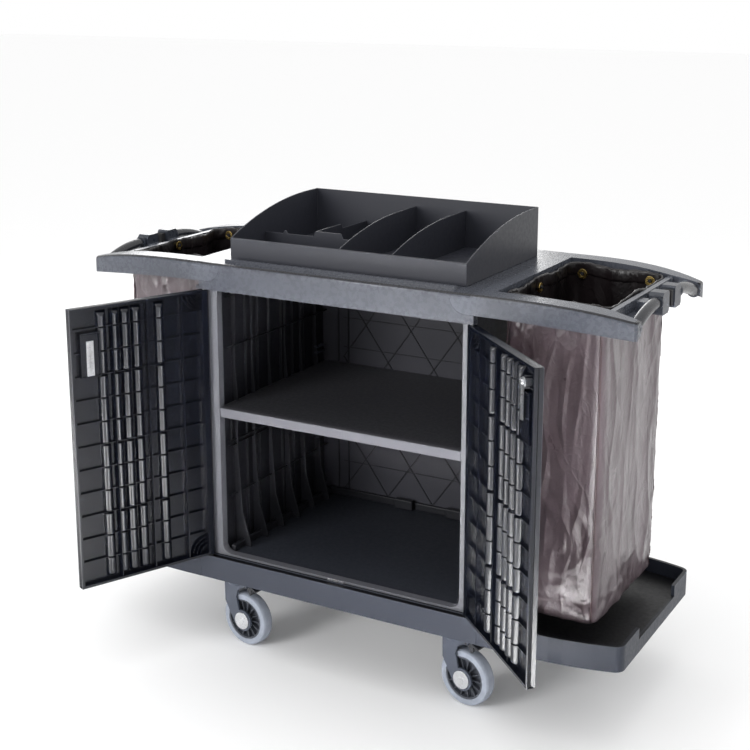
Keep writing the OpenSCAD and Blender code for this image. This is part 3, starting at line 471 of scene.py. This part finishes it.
def door_relief(reach, z0, z1, platform, lock):
    """The inner face as a height field: its height over the door's middle plane as a function of x and
    z, and the x and z of the grid's lines that catch every step of it. All in mm."""
    floor, rim, top = -5.0, 7.0, 11.0
    hinge_strip = 13
    rib_half, rib_height = 1.6, 8.5
    row_half, row_height, row_start, row_step = 1.3, 3.5, 55, 61.7
    arc_radii, arc_half, arc_height = (22, 34, 46), 1.5, 4.5
    bar_radius, bar_rise = 13.5, 15.5
    groove_half, notch_depth, notch_half = 2.2, 0.38, 1.2
    # The recess for the latch: a margin round its platform, a wall, and more room above it.
    margin, wall, headroom = 4, 1, 22
    wall_height, platform_height = 9.5, 5.0 if lock else 4.8
    lock_radius = 17
    ribs = [71, 172, 270]
    bars = [134, 200, 231, 261, 297]
    rows = [z1 - row_start - row_step * k for k in range(12) if z1 - row_start - row_step * k > z0 + 20]
    bar_ends = (z0 + 14, z1 - 14)
    px0, px1, pz0, pz1 = platform

    def height(x, z):
        edge = min(x - hinge_strip, reach - rim - x, z - z0 - rim, z1 - rim - z)
        if edge <= 0:
            return top
        y = floor
        if any(abs(x - c) <= rib_half for c in ribs):
            y = max(y, rib_height)
        if any(abs(z - r) <= row_half for r in rows):
            y = max(y, row_height)
        for c in bars:
            across = abs(x - c) / bar_radius
            if across >= 1:
                continue
            along = min(1, max(0, min(z - bar_ends[0], bar_ends[1] - z)) / bar_radius)
            dip = 1.0
            for k, r in enumerate(rows):
                if k % 3 == 2:
                    along = min(along, max(0, abs(z - r) - groove_half) / 3)
                else:
                    dip = min(dip, 1 - notch_depth * math.exp(-((z - r) / notch_half) ** 2))
            dome = math.sqrt(max(0, 1 - across * across))
            lift = math.sqrt(max(0, 1 - (1 - min(1, along)) ** 2))
            y = max(y, floor + bar_rise * dome * lift * dip)
        for corner in (z0 + rim, z1 - rim):
            away = math.hypot(x - hinge_strip, z - corner)
            if any(abs(away - r) <= arc_half for r in arc_radii):
                y = max(y, arc_height)
        if px0 - margin <= x <= px1 + margin and pz0 - margin <= z <= pz1 + headroom:
            y = platform_height
            if x < px0 - wall or x > px1 + wall or z < pz0 - wall or z > pz1 + headroom - 3:
                y = wall_height
        if lock and math.hypot(x - lock[0], z - lock[1]) < lock_radius:
            y = top
        return y

    xs = set(lines_between(0, reach, 6.5))
    for c in ribs:
        xs.update([c - 2.0, c - rib_half, c + rib_half, c + 2.0])
    for c in bars:
        xs.update([c + bar_radius * math.sin(math.radians(a)) for a in range(-90, 91, 9)])
    xs.update([12.9, 13.1, reach - rim - 0.1, reach - rim + 0.1, 0.9, reach - 0.9])
    for away in (4.1, 3.9, 1.2, 0.8):
        xs.update([px0 - away, px1 + away])
    zs = set(lines_between(z0, z1, 12))
    for r in rows:
        for away in (0, 0.7, 1.3, 1.7, 2.4, 3.6, 5.2):
            zs.update([r - away, r + away])
    for end in bar_ends:
        zs.update([end + s * bar_radius * f for s in (-1, 1) for f in (0, 0.15, 0.35, 0.6, 1)])
    arc_lines = [2.3 * k for k in range(1, 23)]
    xs.update([hinge_strip + away for away in arc_lines])
    for c, way in ((z0 + rim, 1), (z1 - rim, -1)):
        zs.update([c - 0.1, c + 0.1])
        zs.update([c + way * away for away in arc_lines])
    zs.update([z0 + 0.9, z1 - 0.9])
    zs.update([pz0 - away for away in (4.1, 3.9, 1.2, 0.8)])
    zs.update([pz1 + away for away in (22.1, 21.9, 19.2)])

    def tidy(values, low, high):
        """Sorted lines, without those that lie closer than 0.15 mm to the one before."""
        kept = []
        for v in sorted(v for v in values if low <= v <= high):
            if not kept or v - kept[-1] > 0.15:
                kept.append(v)
        kept[0], kept[-1] = low, high
        return kept

    return height, tidy(xs, 0, reach), tidy(zs, z0, z1)


def make_door(side):
    place = DoorPlace(side)
    node = "door_" + side
    own = [place.back(v.co) for v in nodes[node].data.vertices]
    reach = max(p.x for p in own) / MM
    half = max(p.y for p in own) / MM
    z0, z1 = min(p.z for p in own) / MM, max(p.z for p in own) / MM
    platform = (reach - 76, reach - 30, z1 - 177, z1 - 87)
    lock = None if side == "left" else (reach - 58, z1 - 46)
    height, xs, zs = door_relief(reach, z0, z1, platform, lock)
    points, faces = [], []
    wide = len(xs)

    def out(x, y, z):
        points.append(place.out((x * MM, y * MM, z * MM)))

    chamfer = 0.9
    for j, z in enumerate(zs):
        for i, x in enumerate(xs):
            outer = i == wide - 1 or j in (0, len(zs) - 1)
            out(x, half - chamfer if outer else height(x, z), z)
    for j in range(len(zs) - 1):
        for i in range(wide - 1):
            a = j * wide + i
            faces.append([a, a + 1, a + wide + 1, a + wide])
    # Outer face: a shallow recessed panel inside a frame.
    first = len(points)
    insets = [(0, chamfer), (chamfer, 0), (26, 0), (29, 2.2), (30, 2.2)]
    for inset, depth in insets:
        for x, z in ((0, z0), (reach, z0), (reach, z1), (0, z1)):
            sx = inset if x == 0 else -inset
            sz = inset if z == z0 else -inset
            out(x + sx, -half + depth, z + sz)
    for k in range(len(insets) - 1):
        for i in range(4):
            a, b = first + 4 * k + i, first + 4 * k + (i + 1) % 4
            faces.append([a, b, b + 4, a + 4])
    last = first + 4 * (len(insets) - 1)
    faces.append([last + i for i in range(4)])
    top_row = (len(zs) - 1) * wide
    borders = [
        (list(range(wide)), first, first + 1),
        ([wide - 1 + j * wide for j in range(len(zs))], first + 1, first + 2),
        ([top_row + i for i in reversed(range(wide))], first + 2, first + 3),
        ([j * wide for j in reversed(range(len(zs)))], first + 3, first),
    ]
    for number, (chain, a, b) in enumerate(borders):
        if number == 1:
            chain = edge_grooves(points, faces, chain, place, half)
        faces.append([b, a] + chain)
    door = make_piece(node + "_panel", points, faces, "door_plastic", side + "_door", False)
    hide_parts(node)
    smooth_by_angle(door)
    make_barrel(side, place, half, z0, z1)
    if lock:
        make_keyhole_cover(place, lock, half)


def edge_grooves(points, faces, chain, place, half):
    """Two upright grooves in the door's free edge, each of which sets it back by two steps; returns the
    last chain, which is still to be closed."""
    step = 1.6
    for start, end in ((half - 4.5, half - 6.2), (half - 10.5, half - 12.2)):
        for y, inward in ((start, 0), (start, step), (end, step), (end, 0)):
            edge = max(place.back(points[k]).x for k in (chain[0], chain[-1]))
            row = []
            for k in chain:
                p = place.back(points[k])
                row.append(len(points))
                points.append(place.out((edge - inward * MM, y * MM, p.z)))
            for k in range(len(chain) - 1):
                faces.append([chain[k], chain[k + 1], row[k + 1], row[k]])
            chain = row
    return chain


def smooth_by_angle(piece, angle=38):
    """Smooth shading that breaks at edges sharper than the angle, in degrees."""
    piece.data.shade_smooth()
    sharp = piece.data.attributes.get("sharp_edge")
    if sharp is None:
        sharp = piece.data.attributes.new("sharp_edge", "BOOLEAN", "EDGE")
    shape = bmesh.new()
    shape.from_mesh(piece.data)
    shape.edges.ensure_lookup_table()
    limit = math.radians(angle)
    marks = [len(e.link_faces) == 2 and e.calc_face_angle(0) > limit for e in shape.edges]
    shape.free()
    sharp.data.foreach_set("value", marks)


def make_barrel(side, place, half, z0, z1):
    """The rounded hinge edge, in knuckles with fine gaps."""
    points, faces = [], []
    turns = 28
    profile = []
    knuckles, gap, bore = 4, 1.4, 5.3
    length = (z1 - z0) / knuckles
    for k in range(knuckles):
        a, b = z0 + k * length, z0 + (k + 1) * length
        profile += [(half - gap, a), (half, a + gap), (half, b - gap), (half - gap, b)]

    def ring(radius, z):
        for t in range(turns):
            angle = 2 * math.pi * t / turns
            points.append(place.out((radius * math.cos(angle) * MM, radius * math.sin(angle) * MM, z * MM)))

    for radius, z in profile:
        ring(radius, z)
    for k in range(len(profile) - 1):
        for t in range(turns):
            a, b = k * turns + t, k * turns + (t + 1) % turns
            faces.append([a, b, b + turns, a + turns])
    first = len(points)
    ring(bore, z0)
    ring(bore, z1)
    last_ring = (len(profile) - 1) * turns
    for t in range(turns):
        u = (t + 1) % turns
        faces.append([u, t, first + t, first + u])
        faces.append([last_ring + t, last_ring + u, first + turns + u, first + turns + t])
        faces.append([first + u, first + t, first + turns + t, first + turns + u])
    barrel = make_piece("door_%s_barrel" % side, points, faces, "door_plastic", side + "_door",
                        False)
    smooth_by_angle(barrel)


def make_keyhole_cover(place, lock, half):
    """A dished ring round the lock on the door's outer face."""
    points, faces = [], []
    turns = 32
    profile = [(16.2, 0), (16.2, 1.2), (19, 1.2), (20.5, 0)]
    for radius, depth in profile:
        for t in range(turns):
            angle = 2 * math.pi * t / turns
            points.append(place.out(((lock[0] + radius * math.cos(angle)) * MM, (-half - depth) * MM,
                                     (lock[1] + radius * math.sin(angle)) * MM)))
    for k in range(len(profile)):
        for t in range(turns):
            u, after = (t + 1) % turns, (k + 1) % len(profile)
            faces.append([k * turns + t, k * turns + u, after * turns + u, after * turns + t])
    make_piece("keyhole_cover", points, faces, "handle_plastic", "right_door")


# ------------------------------------------------------------------ bags

def rounded_ring(x0, x1, y0, y1, radius, count):
    """Points round a rounded rectangle at even steps, each with its outward normal."""
    straight_x, straight_y = x1 - x0 - 2 * radius, y1 - y0 - 2 * radius
    arc = math.pi * radius / 2
    total = 2 * (straight_x + straight_y) + 4 * arc
    legs = [
        (straight_x, (x0 + radius, y0), (1, 0), (0, -1)),
        (arc, (x1 - radius, y0 + radius), -90, None),
        (straight_y, (x1, y0 + radius), (0, 1), (1, 0)),
        (arc, (x1 - radius, y1 - radius), 0, None),
        (straight_x, (x1 - radius, y1), (-1, 0), (0, 1)),
        (arc, (x0 + radius, y1 - radius), 90, None),
        (straight_y, (x0, y1 - radius), (0, -1), (-1, 0)),
        (arc, (x0 + radius, y0 + radius), 180, None),
    ]
    ring = []
    for k in range(count):
        s = total * k / count
        for length, start, way, normal in legs:
            if s <= length:
                break
            s -= length
        if normal:
            ring.append((Vector((start[0] + way[0] * s, start[1] + way[1] * s)), Vector(normal)))
        else:
            angle = math.radians(way + 90 * s / length)
            n = Vector((math.cos(angle), math.sin(angle)))
            ring.append((Vector(start) + radius * n, n))
    return ring


CLOTH = 0.0011


class Bag:
    """A hung bag: its wall as a function of the ring's point and the depth below the hem."""

    def __init__(self, side):
        self.side = side
        low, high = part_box("bag_" + side)
        self.low, self.high = low, high
        self.grommets = self.find_grommets("grommets_" + side)
        self.seed = 3.7 if side == "right" else 9.1
        self.count = 384
        slack, corner_radius = 0.004, 0.026
        self.ring = rounded_ring(low.x + slack, high.x - slack, low.y + slack, high.y - slack,
                                 corner_radius, self.count)
        self.floor_z = low.z
        self.hem_z = high.z

    def find_grommets(self, node):
        """Middles of the grommets: the node's points, grouped by a reach of 50 mm."""
        seen = []
        for v in nodes[node].data.vertices:
            if not any((v.co - c[0]).length < 0.05 for c in seen):
                seen.append([v.co.copy(), []])
            min(seen, key=lambda c: (v.co - c[0]).length)[1].append(v.co)
        return [(Vector(map(min, *c[1])) + Vector(map(max, *c[1]))) / 2 for c in seen if len(c[1]) > 2]

    def near_grommet(self, p):
        """1 at a grommet, falling to 0 within a hand's width; and the distance to the nearest one."""
        away = min(math.hypot(p.x - g.x, p.y - g.y) for g in self.grommets)
        return math.exp(-(away / 0.035) ** 2), away

    def hem(self, p):
        """Height of the mouth's edge: it sags between grommets and is lower at the cart's end."""
        away = self.near_grommet(p)[1]
        along = (p.x - self.low.x) / (self.high.x - self.low.x)
        outward = min(1, max(0, along if self.side == "right" else 1 - along))
        sag = 0.008 * (1 - math.exp(-(away / 0.06) ** 2))
        ripple = 0.0030 * noise.noise(Vector((p.x * 31, p.y * 31, 4.2)))
        ripple += 0.0016 * noise.noise(Vector((p.x * 95, p.y * 95, 8.2)))
        return self.hem_z + 0.012 - 0.011 * outward ** 3 - sag + ripple

    def crease(self, p, z, scale, lean, rise, shift):
        """A raised line, sharp at its crest, that wanders up the cloth."""
        drift = 0.05 * noise.noise(Vector((p.x * 4, p.y * 4, z * 5 + shift)))
        q = Vector(((p.x + lean * z + drift) * scale, (p.y + lean * z + drift) * scale, z * rise + shift))
        return math.exp(-abs(noise.noise(q)) * 11) - 0.22

    def folds(self, p, z, depth, calm):
        """Broad folds, sharp upright creases, slanting ones in patches, and pulls below the grommets."""
        seed = self.seed
        broad = noise.noise(Vector((p.x * 9, p.y * 9, z * 1.2 + seed)))
        patch = min(1, max(0, 0.35 + 1.3 * noise.noise(Vector((p.x * 5, p.y * 5, z * 3.5 + 40 + seed)))))
        upright = self.crease(p, z, 11, 0.0, 1.0, seed)
        slant = self.crease(p, z, 10, 0.5, 2.6, seed + 20) + self.crease(p, z, 10, -0.6, 2.2, seed + 31)
        fine = self.crease(p, z, 27, 0.2, 5.0, seed + 57)
        low = math.exp(-((1 - depth) / 0.16) ** 2)
        level = self.crease(p, z, 6, 0.1, 22, seed + 71)
        pulls = noise.noise(Vector((p.x * 34, p.y * 34, z * 2.2 + seed)))
        return calm * (0.0040 * broad + 0.0044 * upright + 0.0040 * patch * slant + 0.0018 * patch * fine
                       + 0.0028 * low * level + 0.0036 * pulls * math.exp(-depth / 0.15))

    def wall(self, k, depth):
        """depth runs from 0 at the hem to 1 at the foot of the wall."""
        p, n = self.ring[k % self.count]
        hold, away = self.near_grommet(p)
        top = self.hem(p)
        z = top + (self.floor_z + 0.012 - top) * depth
        calm = 1 - hold * math.exp(-(depth / 0.06) ** 2)
        sag_in = -0.005 * (1 - math.exp(-(away / 0.07) ** 2)) * math.exp(-depth / 0.10)
        belly = 0.005 * max(0, math.sin(math.pi * min(1, max(0, depth) * 1.05))) ** 0.8
        folds = self.folds(p, z, depth, calm)
        foot = math.exp(-((1 - depth) / 0.07) ** 2)
        crumple = 0.004 * foot * noise.noise(Vector((p.x * 26, p.y * 26, z * 26 + self.seed)))
        lean = 0.005 * (1 - hold) * math.exp(-max(0, depth) / 0.03)
        push = sag_in + belly + folds + crumple + lean
        push = max(-0.020, min(0.0075, push))
        base = p + n * push
        return Vector((base.x, base.y, z)), Vector((n.x, n.y, 0))


def make_bag(side):
    bag = Bag(side)
    count, levels = bag.count, 118
    points, faces = [], []
    for level in range(levels + 1):
        points += [bag.wall(k, level / levels)[0] for k in range(count)]
    # Rounded foot, then a slightly slack bottom.
    middle = Vector(((bag.low.x + bag.high.x) / 2, 0, 0))
    foot = [(0.985, 0.0045), (0.955, 0.001), (0.86, 0.0), (0.6, 0.0012), (0.3, 0.0022)]
    for scale, lift in foot:
        for k in range(count):
            p = bag.wall(k, 1)[0]
            q = middle + (p - middle) * scale
            wave = 0.0022 * (noise.noise(Vector((q.x * 14, q.y * 14, 1.7))) + 0.5)
            points.append(Vector((q.x, q.y, bag.floor_z + lift + max(0, wave))))
    rings = len(points) // count
    for j in range(rings - 1):
        for k in range(count):
            a, b = j * count + k, j * count + (k + 1) % count
            faces.append([b, a, a + count, b + count])
    points.append(Vector((middle.x, 0, bag.floor_z + 0.003)))
    for k in range(count):
        faces.append([(rings - 1) * count + (k + 1) % count, (rings - 1) * count + k, len(points) - 1])
    piece = make_piece("bag_%s_cloth" % side, points, faces, "bag_cloth", "cart_body")
    # The inside faces take the painted shade of the bag's inside.
    piece.data.materials.append(materials["bag_lining"])
    shell = piece.modifiers.new("thickness", "SOLIDIFY")
    shell.thickness = CLOTH
    shell.offset = -1
    shell.material_offset = 1
    shell.material_offset_rim = 0
    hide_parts("bag_" + side)
    make_hem(bag)
    make_seams(bag)


def make_hem(bag):
    """The doubled band round the mouth."""
    count = bag.count
    # Drop below the mouth's edge and lift off the wall, row by row.
    rows = [(-0.0005, 0.0006), (0.004, 0.0016), (0.016, 0.0016), (0.028, 0.0015), (0.0335, 0.0004)]
    outer, inner = [], []
    for drop, lift in rows:
        for k in range(count):
            top = bag.hem(bag.ring[k][0])
            depth = drop / (top - bag.floor_z)
            p, n = bag.wall(k, depth)
            outer.append(p + n * lift)
            inner.append(p - n * (lift + CLOTH))
    points = outer + inner
    faces = []
    levels = len(rows)
    shift = len(outer)
    for j in range(levels - 1):
        for k in range(count):
            a, b = j * count + k, j * count + (k + 1) % count
            faces.append([b, a, a + count, b + count])
            faces.append([shift + a, shift + b, shift + b + count, shift + a + count])
    for k in range(count):
        a, b = k, (k + 1) % count
        faces.append([a, b, shift + b, shift + a])
        c, d = a + (levels - 1) * count, b + (levels - 1) * count
        faces.append([d, c, shift + c, shift + d])
    # The hem, inside the mouth, takes the painted shade of the bag's inside.
    make_piece("bag_%s_hem" % bag.side, points, faces, "bag_lining", "cart_body")


def seam_places(bag):
    """Ring indexes of the four upright corner seams."""
    corners = []
    for k in range(bag.count):
        n = bag.ring[k][1]
        if abs(abs(n.x) - abs(n.y)) < 0.25 and (not corners or k - corners[-1] > 20):
            corners.append(k)
    return corners


def make_seams(bag):
    """A tape up each corner, with a stitch at every level on both sides."""
    points, faces = [], []
    stitches, stitch_faces = [], []
    stitch = (Vector((-0.0004, -0.0003, -0.0028)), Vector((0.0004, 0.0004, 0.0028)))
    levels = 120
    for k in seam_places(bag):
        path, across, thick = [], [], []
        for j in range(levels + 1):
            depth = j / levels
            p, n = bag.wall(k, depth)
            q = bag.wall(k + 1, depth)[0]
            side = (q - p).normalized()
            normal = side.cross(Vector((0, 0, 1)))
            normal = normal if normal.dot(n) > 0 else -normal
            path.append(p + normal * 0.0010)
            across.append(side * 0.0030)
            thick.append(normal * 0.0009)
            if 0 < j < levels:
                for shift in (-0.0018, 0.0018):
                    turn = Matrix((side, normal, Vector((0, 0, 1)))).transposed().to_4x4()
                    turn.translation = p + side * shift + normal * 0.0021
                    block(stitches, stitch_faces, *stitch, turn)
        strip(points, faces, path, across, thick)
    make_piece("bag_%s_seams" % bag.side, points, faces, "seam_tape", "cart_body")
    make_piece("bag_%s_stitches" % bag.side, stitches, stitch_faces, "thread", "cart_body",
               False)


# ------------------------------------------------------------------ cabinet's inside and back

# How far the ribs reach into the panel that they stand on.
SUNK = 0.0002


def make_back_ribs():
    """Diamond ribs, level grooves and corner columns on the back panel's inner face."""
    low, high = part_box("back_panel")
    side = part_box("side_panel_right")[0].x
    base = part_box("base_platform")[1].z
    wall = low.y
    points, faces = [], []
    margin = 0.052
    x0, x1, z0, z1 = -side + margin, side - margin, base + 0.02, high.z - 0.01
    thick, deep = 0.0030, 0.0026
    step, slope, shortest = 0.150, 0.72, 0.03
    for way in (-1, 1):
        for k in range(-12, 13):
            ends = [Vector((k * step + way * (z - z0) * slope, wall, z)) for z in (z0, z1)]
            a, b = clip_to(*ends, x0, x1)
            if a is None or (b - a).length < shortest:
                continue
            along = b - a
            turn = Matrix.Translation(a) @ Matrix.Rotation(math.atan2(along.x, along.z), 4, "Y")
            block(points, faces, (-thick / 2, -deep, 0), (thick / 2, SUNK, along.length), turn)
    levels = 8
    for k in range(1, levels):
        z = z0 + k * (z1 - z0) / levels
        block(points, faces, (x0, wall - 0.0018, z - 0.0012), (x1, wall + SUNK, z + 0.0012))
    for s in (-1, 1):
        for outwards in (0.017, -0.017):
            x = s * (x1 + outwards)
            block(points, faces, (x - 0.0016, wall - 0.004, z0), (x + 0.0016, wall + SUNK, z1))
    make_piece("back_ribs", points, faces, "black_plastic", "cart_body", False)
    make_back_ledge(side, base, wall)


def clip_to(a, b, x0, x1):
    """The part of the line from a to b that lies between x0 and x1."""
    way = b - a
    if abs(way.x) < 1e-9:
        return (a, b) if x0 <= a.x <= x1 else (None, None)
    t = sorted([(x0 - a.x) / way.x, (x1 - a.x) / way.x])
    t0, t1 = max(0, t[0]), min(1, t[1])
    if t0 >= t1:
        return None, None
    return a + way * t0, a + way * t1


def make_back_ledge(side, base, wall):
    """The low ledge along the back and the sides of the floor, with two moulded blocks."""
    points, faces = [], []
    block(points, faces, (-side + 0.002, wall - 0.010, base - 0.0012), (side - 0.002, wall, base + 0.022))
    for s in (-1, 1):
        x = s * (side - 0.0085)
        block(points, faces, (x - 0.0065, -0.246, base - 0.0012), (x + 0.0065, wall - 0.011, base + 0.020))
        block(points, faces, (s * 0.085 - 0.030, wall - 0.026, base + 0.0002),
              (s * 0.085 + 0.030, wall - 0.009, base + 0.030))
    ledge = make_piece("floor_ledge", points, faces, "black_plastic", "cart_body", False)
    bevel(ledge, 0.0035, 3)


def make_side_ribs(side):
    """Tapering gussets, level ribs and clips on a side panel's inner face."""
    low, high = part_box("side_panel_" + side)
    s = 1 if side == "right" else -1
    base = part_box("base_platform")[1].z
    shelf_low, shelf_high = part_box("shelf")
    front, back = low.y, high.y
    rib_depth = 0.012
    rib_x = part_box("side_panel_right")[0].x + rib_depth
    points, faces = [], []
    bays = ((base, shelf_low.z - 0.008, 0.046), (shelf_high.z, high.z - 0.004, 0.012))
    for floor_z, ceiling, flare in bays:
        for k in range(6):
            y = front + 0.055 + k * (back - front - 0.085) / 5.4
            top = floor_z + 0.72 * (ceiling - floor_z)
            outline = [
                (0, floor_z + 0.0005), (-flare, floor_z + 0.0005), (-flare, floor_z + 0.014),
                (-flare * 0.45, floor_z + 0.10), (-0.010, top), (-0.009, ceiling), (0, ceiling)
            ]
            add_plate(points, faces, outline, s, rib_x, y - 0.0022, y + 0.0022)
        for z in (ceiling - 0.075, ceiling - 0.088, floor_z + 0.155):
            add_rail(points, faces, s, rib_x, front + 0.02, back - 0.004, z)
        x0, x1 = sorted([s * rib_x, s * (rib_x - 0.006)])
        for k in range(7):
            y = front + 0.03 + k * (back - front - 0.06) / 6.2
            block(points, faces, (x0, y - 0.001, ceiling - 0.045 - 0.03), (x1, y + 0.001, ceiling))
    ribs = make_piece("side_ribs_" + side, points, faces, "black_plastic", "cart_body",
                      False)
    bevel(ribs, 0.0008, 2)
    clips, clip_faces = [], []
    for z in (shelf_high.z + 0.034, shelf_high.z + 0.052, base + 0.190, base + 0.208):
        x = s * (rib_x - 0.007)
        block(clips, clip_faces, (x - 0.007, back - 0.066, z), (x + 0.007, back - 0.026, z + 0.006))
    clip = make_piece("panel_clips_" + side, clips, clip_faces, "holder_plastic", "cart_body",
                      False)
    bevel(clip, 0.0012, 2)


def add_plate(points, faces, outline, s, origin_x, y0, y1):
    """A flat plate with an outline in x (inwards is negative) and z, on the side given by s."""
    first = len(points)
    count = len(outline)
    for y in (y0, y1):
        points += [Vector((s * (origin_x + x), y, z)) for x, z in outline]
    faces.append([first + k for k in reversed(range(count))])
    faces.append([first + count + k for k in range(count)])
    for k in range(count):
        a, b = first + k, first + (k + 1) % count
        faces.append([a, b, b + count, a + count])


def add_rail(points, faces, s, rib_x, y0, y1, z):
    """A level rib along a side panel."""
    xs = sorted([s * (rib_x - 0.009), s * rib_x])
    block(points, faces, (xs[0], y0, z - 0.0014), (xs[1], y1, z + 0.0014))


def make_back_trim():
    """A raised frame and level ribs on the outside of the back panel."""
    low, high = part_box("back_panel")
    y = high.y
    points, faces = [], []
    inset, w, d, sunk = 0.03, 0.012, 0.0035, 0.0005
    x0, x1, z0, z1 = low.x + inset, high.x - inset, low.z + inset, high.z - inset
    for start, end in (((x0, z0), (x1, z0 + w)), ((x0, z1 - w), (x1, z1)),
                       ((x0, z0 + w), (x0 + w, z1 - w)), ((x1 - w, z0 + w), (x1, z1 - w))):
        block(points, faces, (start[0], y - sunk, start[1]), (end[0], y + d, end[1]))
    levels = 12
    for k in range(1, levels):
        z = z0 + w + k * (z1 - z0 - 2 * w) / levels
        block(points, faces, (x0 + 0.04, y - sunk, z - 0.003), (x1 - 0.04, y + 0.002, z + 0.003))
    trim = make_piece("back_trim", points, faces, "black_plastic", "cart_body", False)
    bevel(trim, 0.0016, 2)


# ------------------------------------------------------------------ CAD nodes' finish

def finish_nodes():
    """Gives each kept CAD node its material and rounded edges. The longest prefix of its name decides;
    doors and bags have none, because pieces made here replace them."""
    looks = {
        "base_platform": ("base_plastic", 0.0022), "end_tray": ("tray_plastic", 0.0022),
        "side_panel": ("black_plastic", 0.001), "back_panel": ("back_plastic", 0.002),
        "front_frame": ("jamb_plastic", 0.002), "shelf": ("shelf_plastic", 0.0025),
        "top_deck": ("grey_plastic", 0.0022), "organizer": ("organizer_plastic", 0.001),
        "bag_frame": ("rail_plastic", 0.0042), "handle": ("handle_plastic", 0.0008),
        "tool_holder": ("holder_plastic", 0.0015), "holder_pads": ("pad_rubber", 0.0008),
        "grommets": ("brass", 0.0005), "hinge_pins": ("zinc_steel", 0.0004),
        "door_stop": ("zinc_steel", 0.0002), "lock": ("zinc_steel", 0.0005),
        "latch_plate": ("zinc_steel", 0.0008), "latch_screws": ("zinc_steel", 0.0003),
        "caster_plates": ("fork_paint", 0.0006), "caster_bolts": ("zinc_steel", 0.0005),
        "kingpins": ("zinc_steel", 0.0005), "fork": ("fork_paint", 0.0012),
        "axle": ("zinc_steel", 0.0008), "hub": ("hub_plastic", 0.0006),
        "tyre": ("tyre_rubber", 0.001), "brake": ("handle_plastic", 0.001),
    }
    for name, node in nodes.items():
        keys = [k for k in looks if name.startswith(k)]
        if not keys:
            continue
        look, width = looks[max(keys, key=len)]
        node.data.materials.clear()
        node.data.materials.append(materials[look])
        weld = node.modifiers.new("weld", "WELD")
        weld.merge_threshold = 0.00002
        bevel(node, width, 2, 35)
    for side in ("left", "right"):
        paint_shade_in_grommets(side)


def paint_shade_in_grommets(side):
    """Painted shade: the frame's pegs through the grommets take black plastic, for the dark of the
    grommets' holes.
    """
    mesh = nodes["bag_frame_" + side].data
    mesh.materials.append(materials["black_plastic"])
    places = Bag(side).grommets
    for face in mesh.polygons:
        if min((face.center - g).length for g in places) < 0.022:
            face.material_index = 1


make_camera()
materials = make_materials()
make_stage()
finish_nodes()
for side in ("left", "right"):
    make_door(side)
    make_bag(side)
    make_side_ribs(side)
make_back_ribs()
make_back_trim()
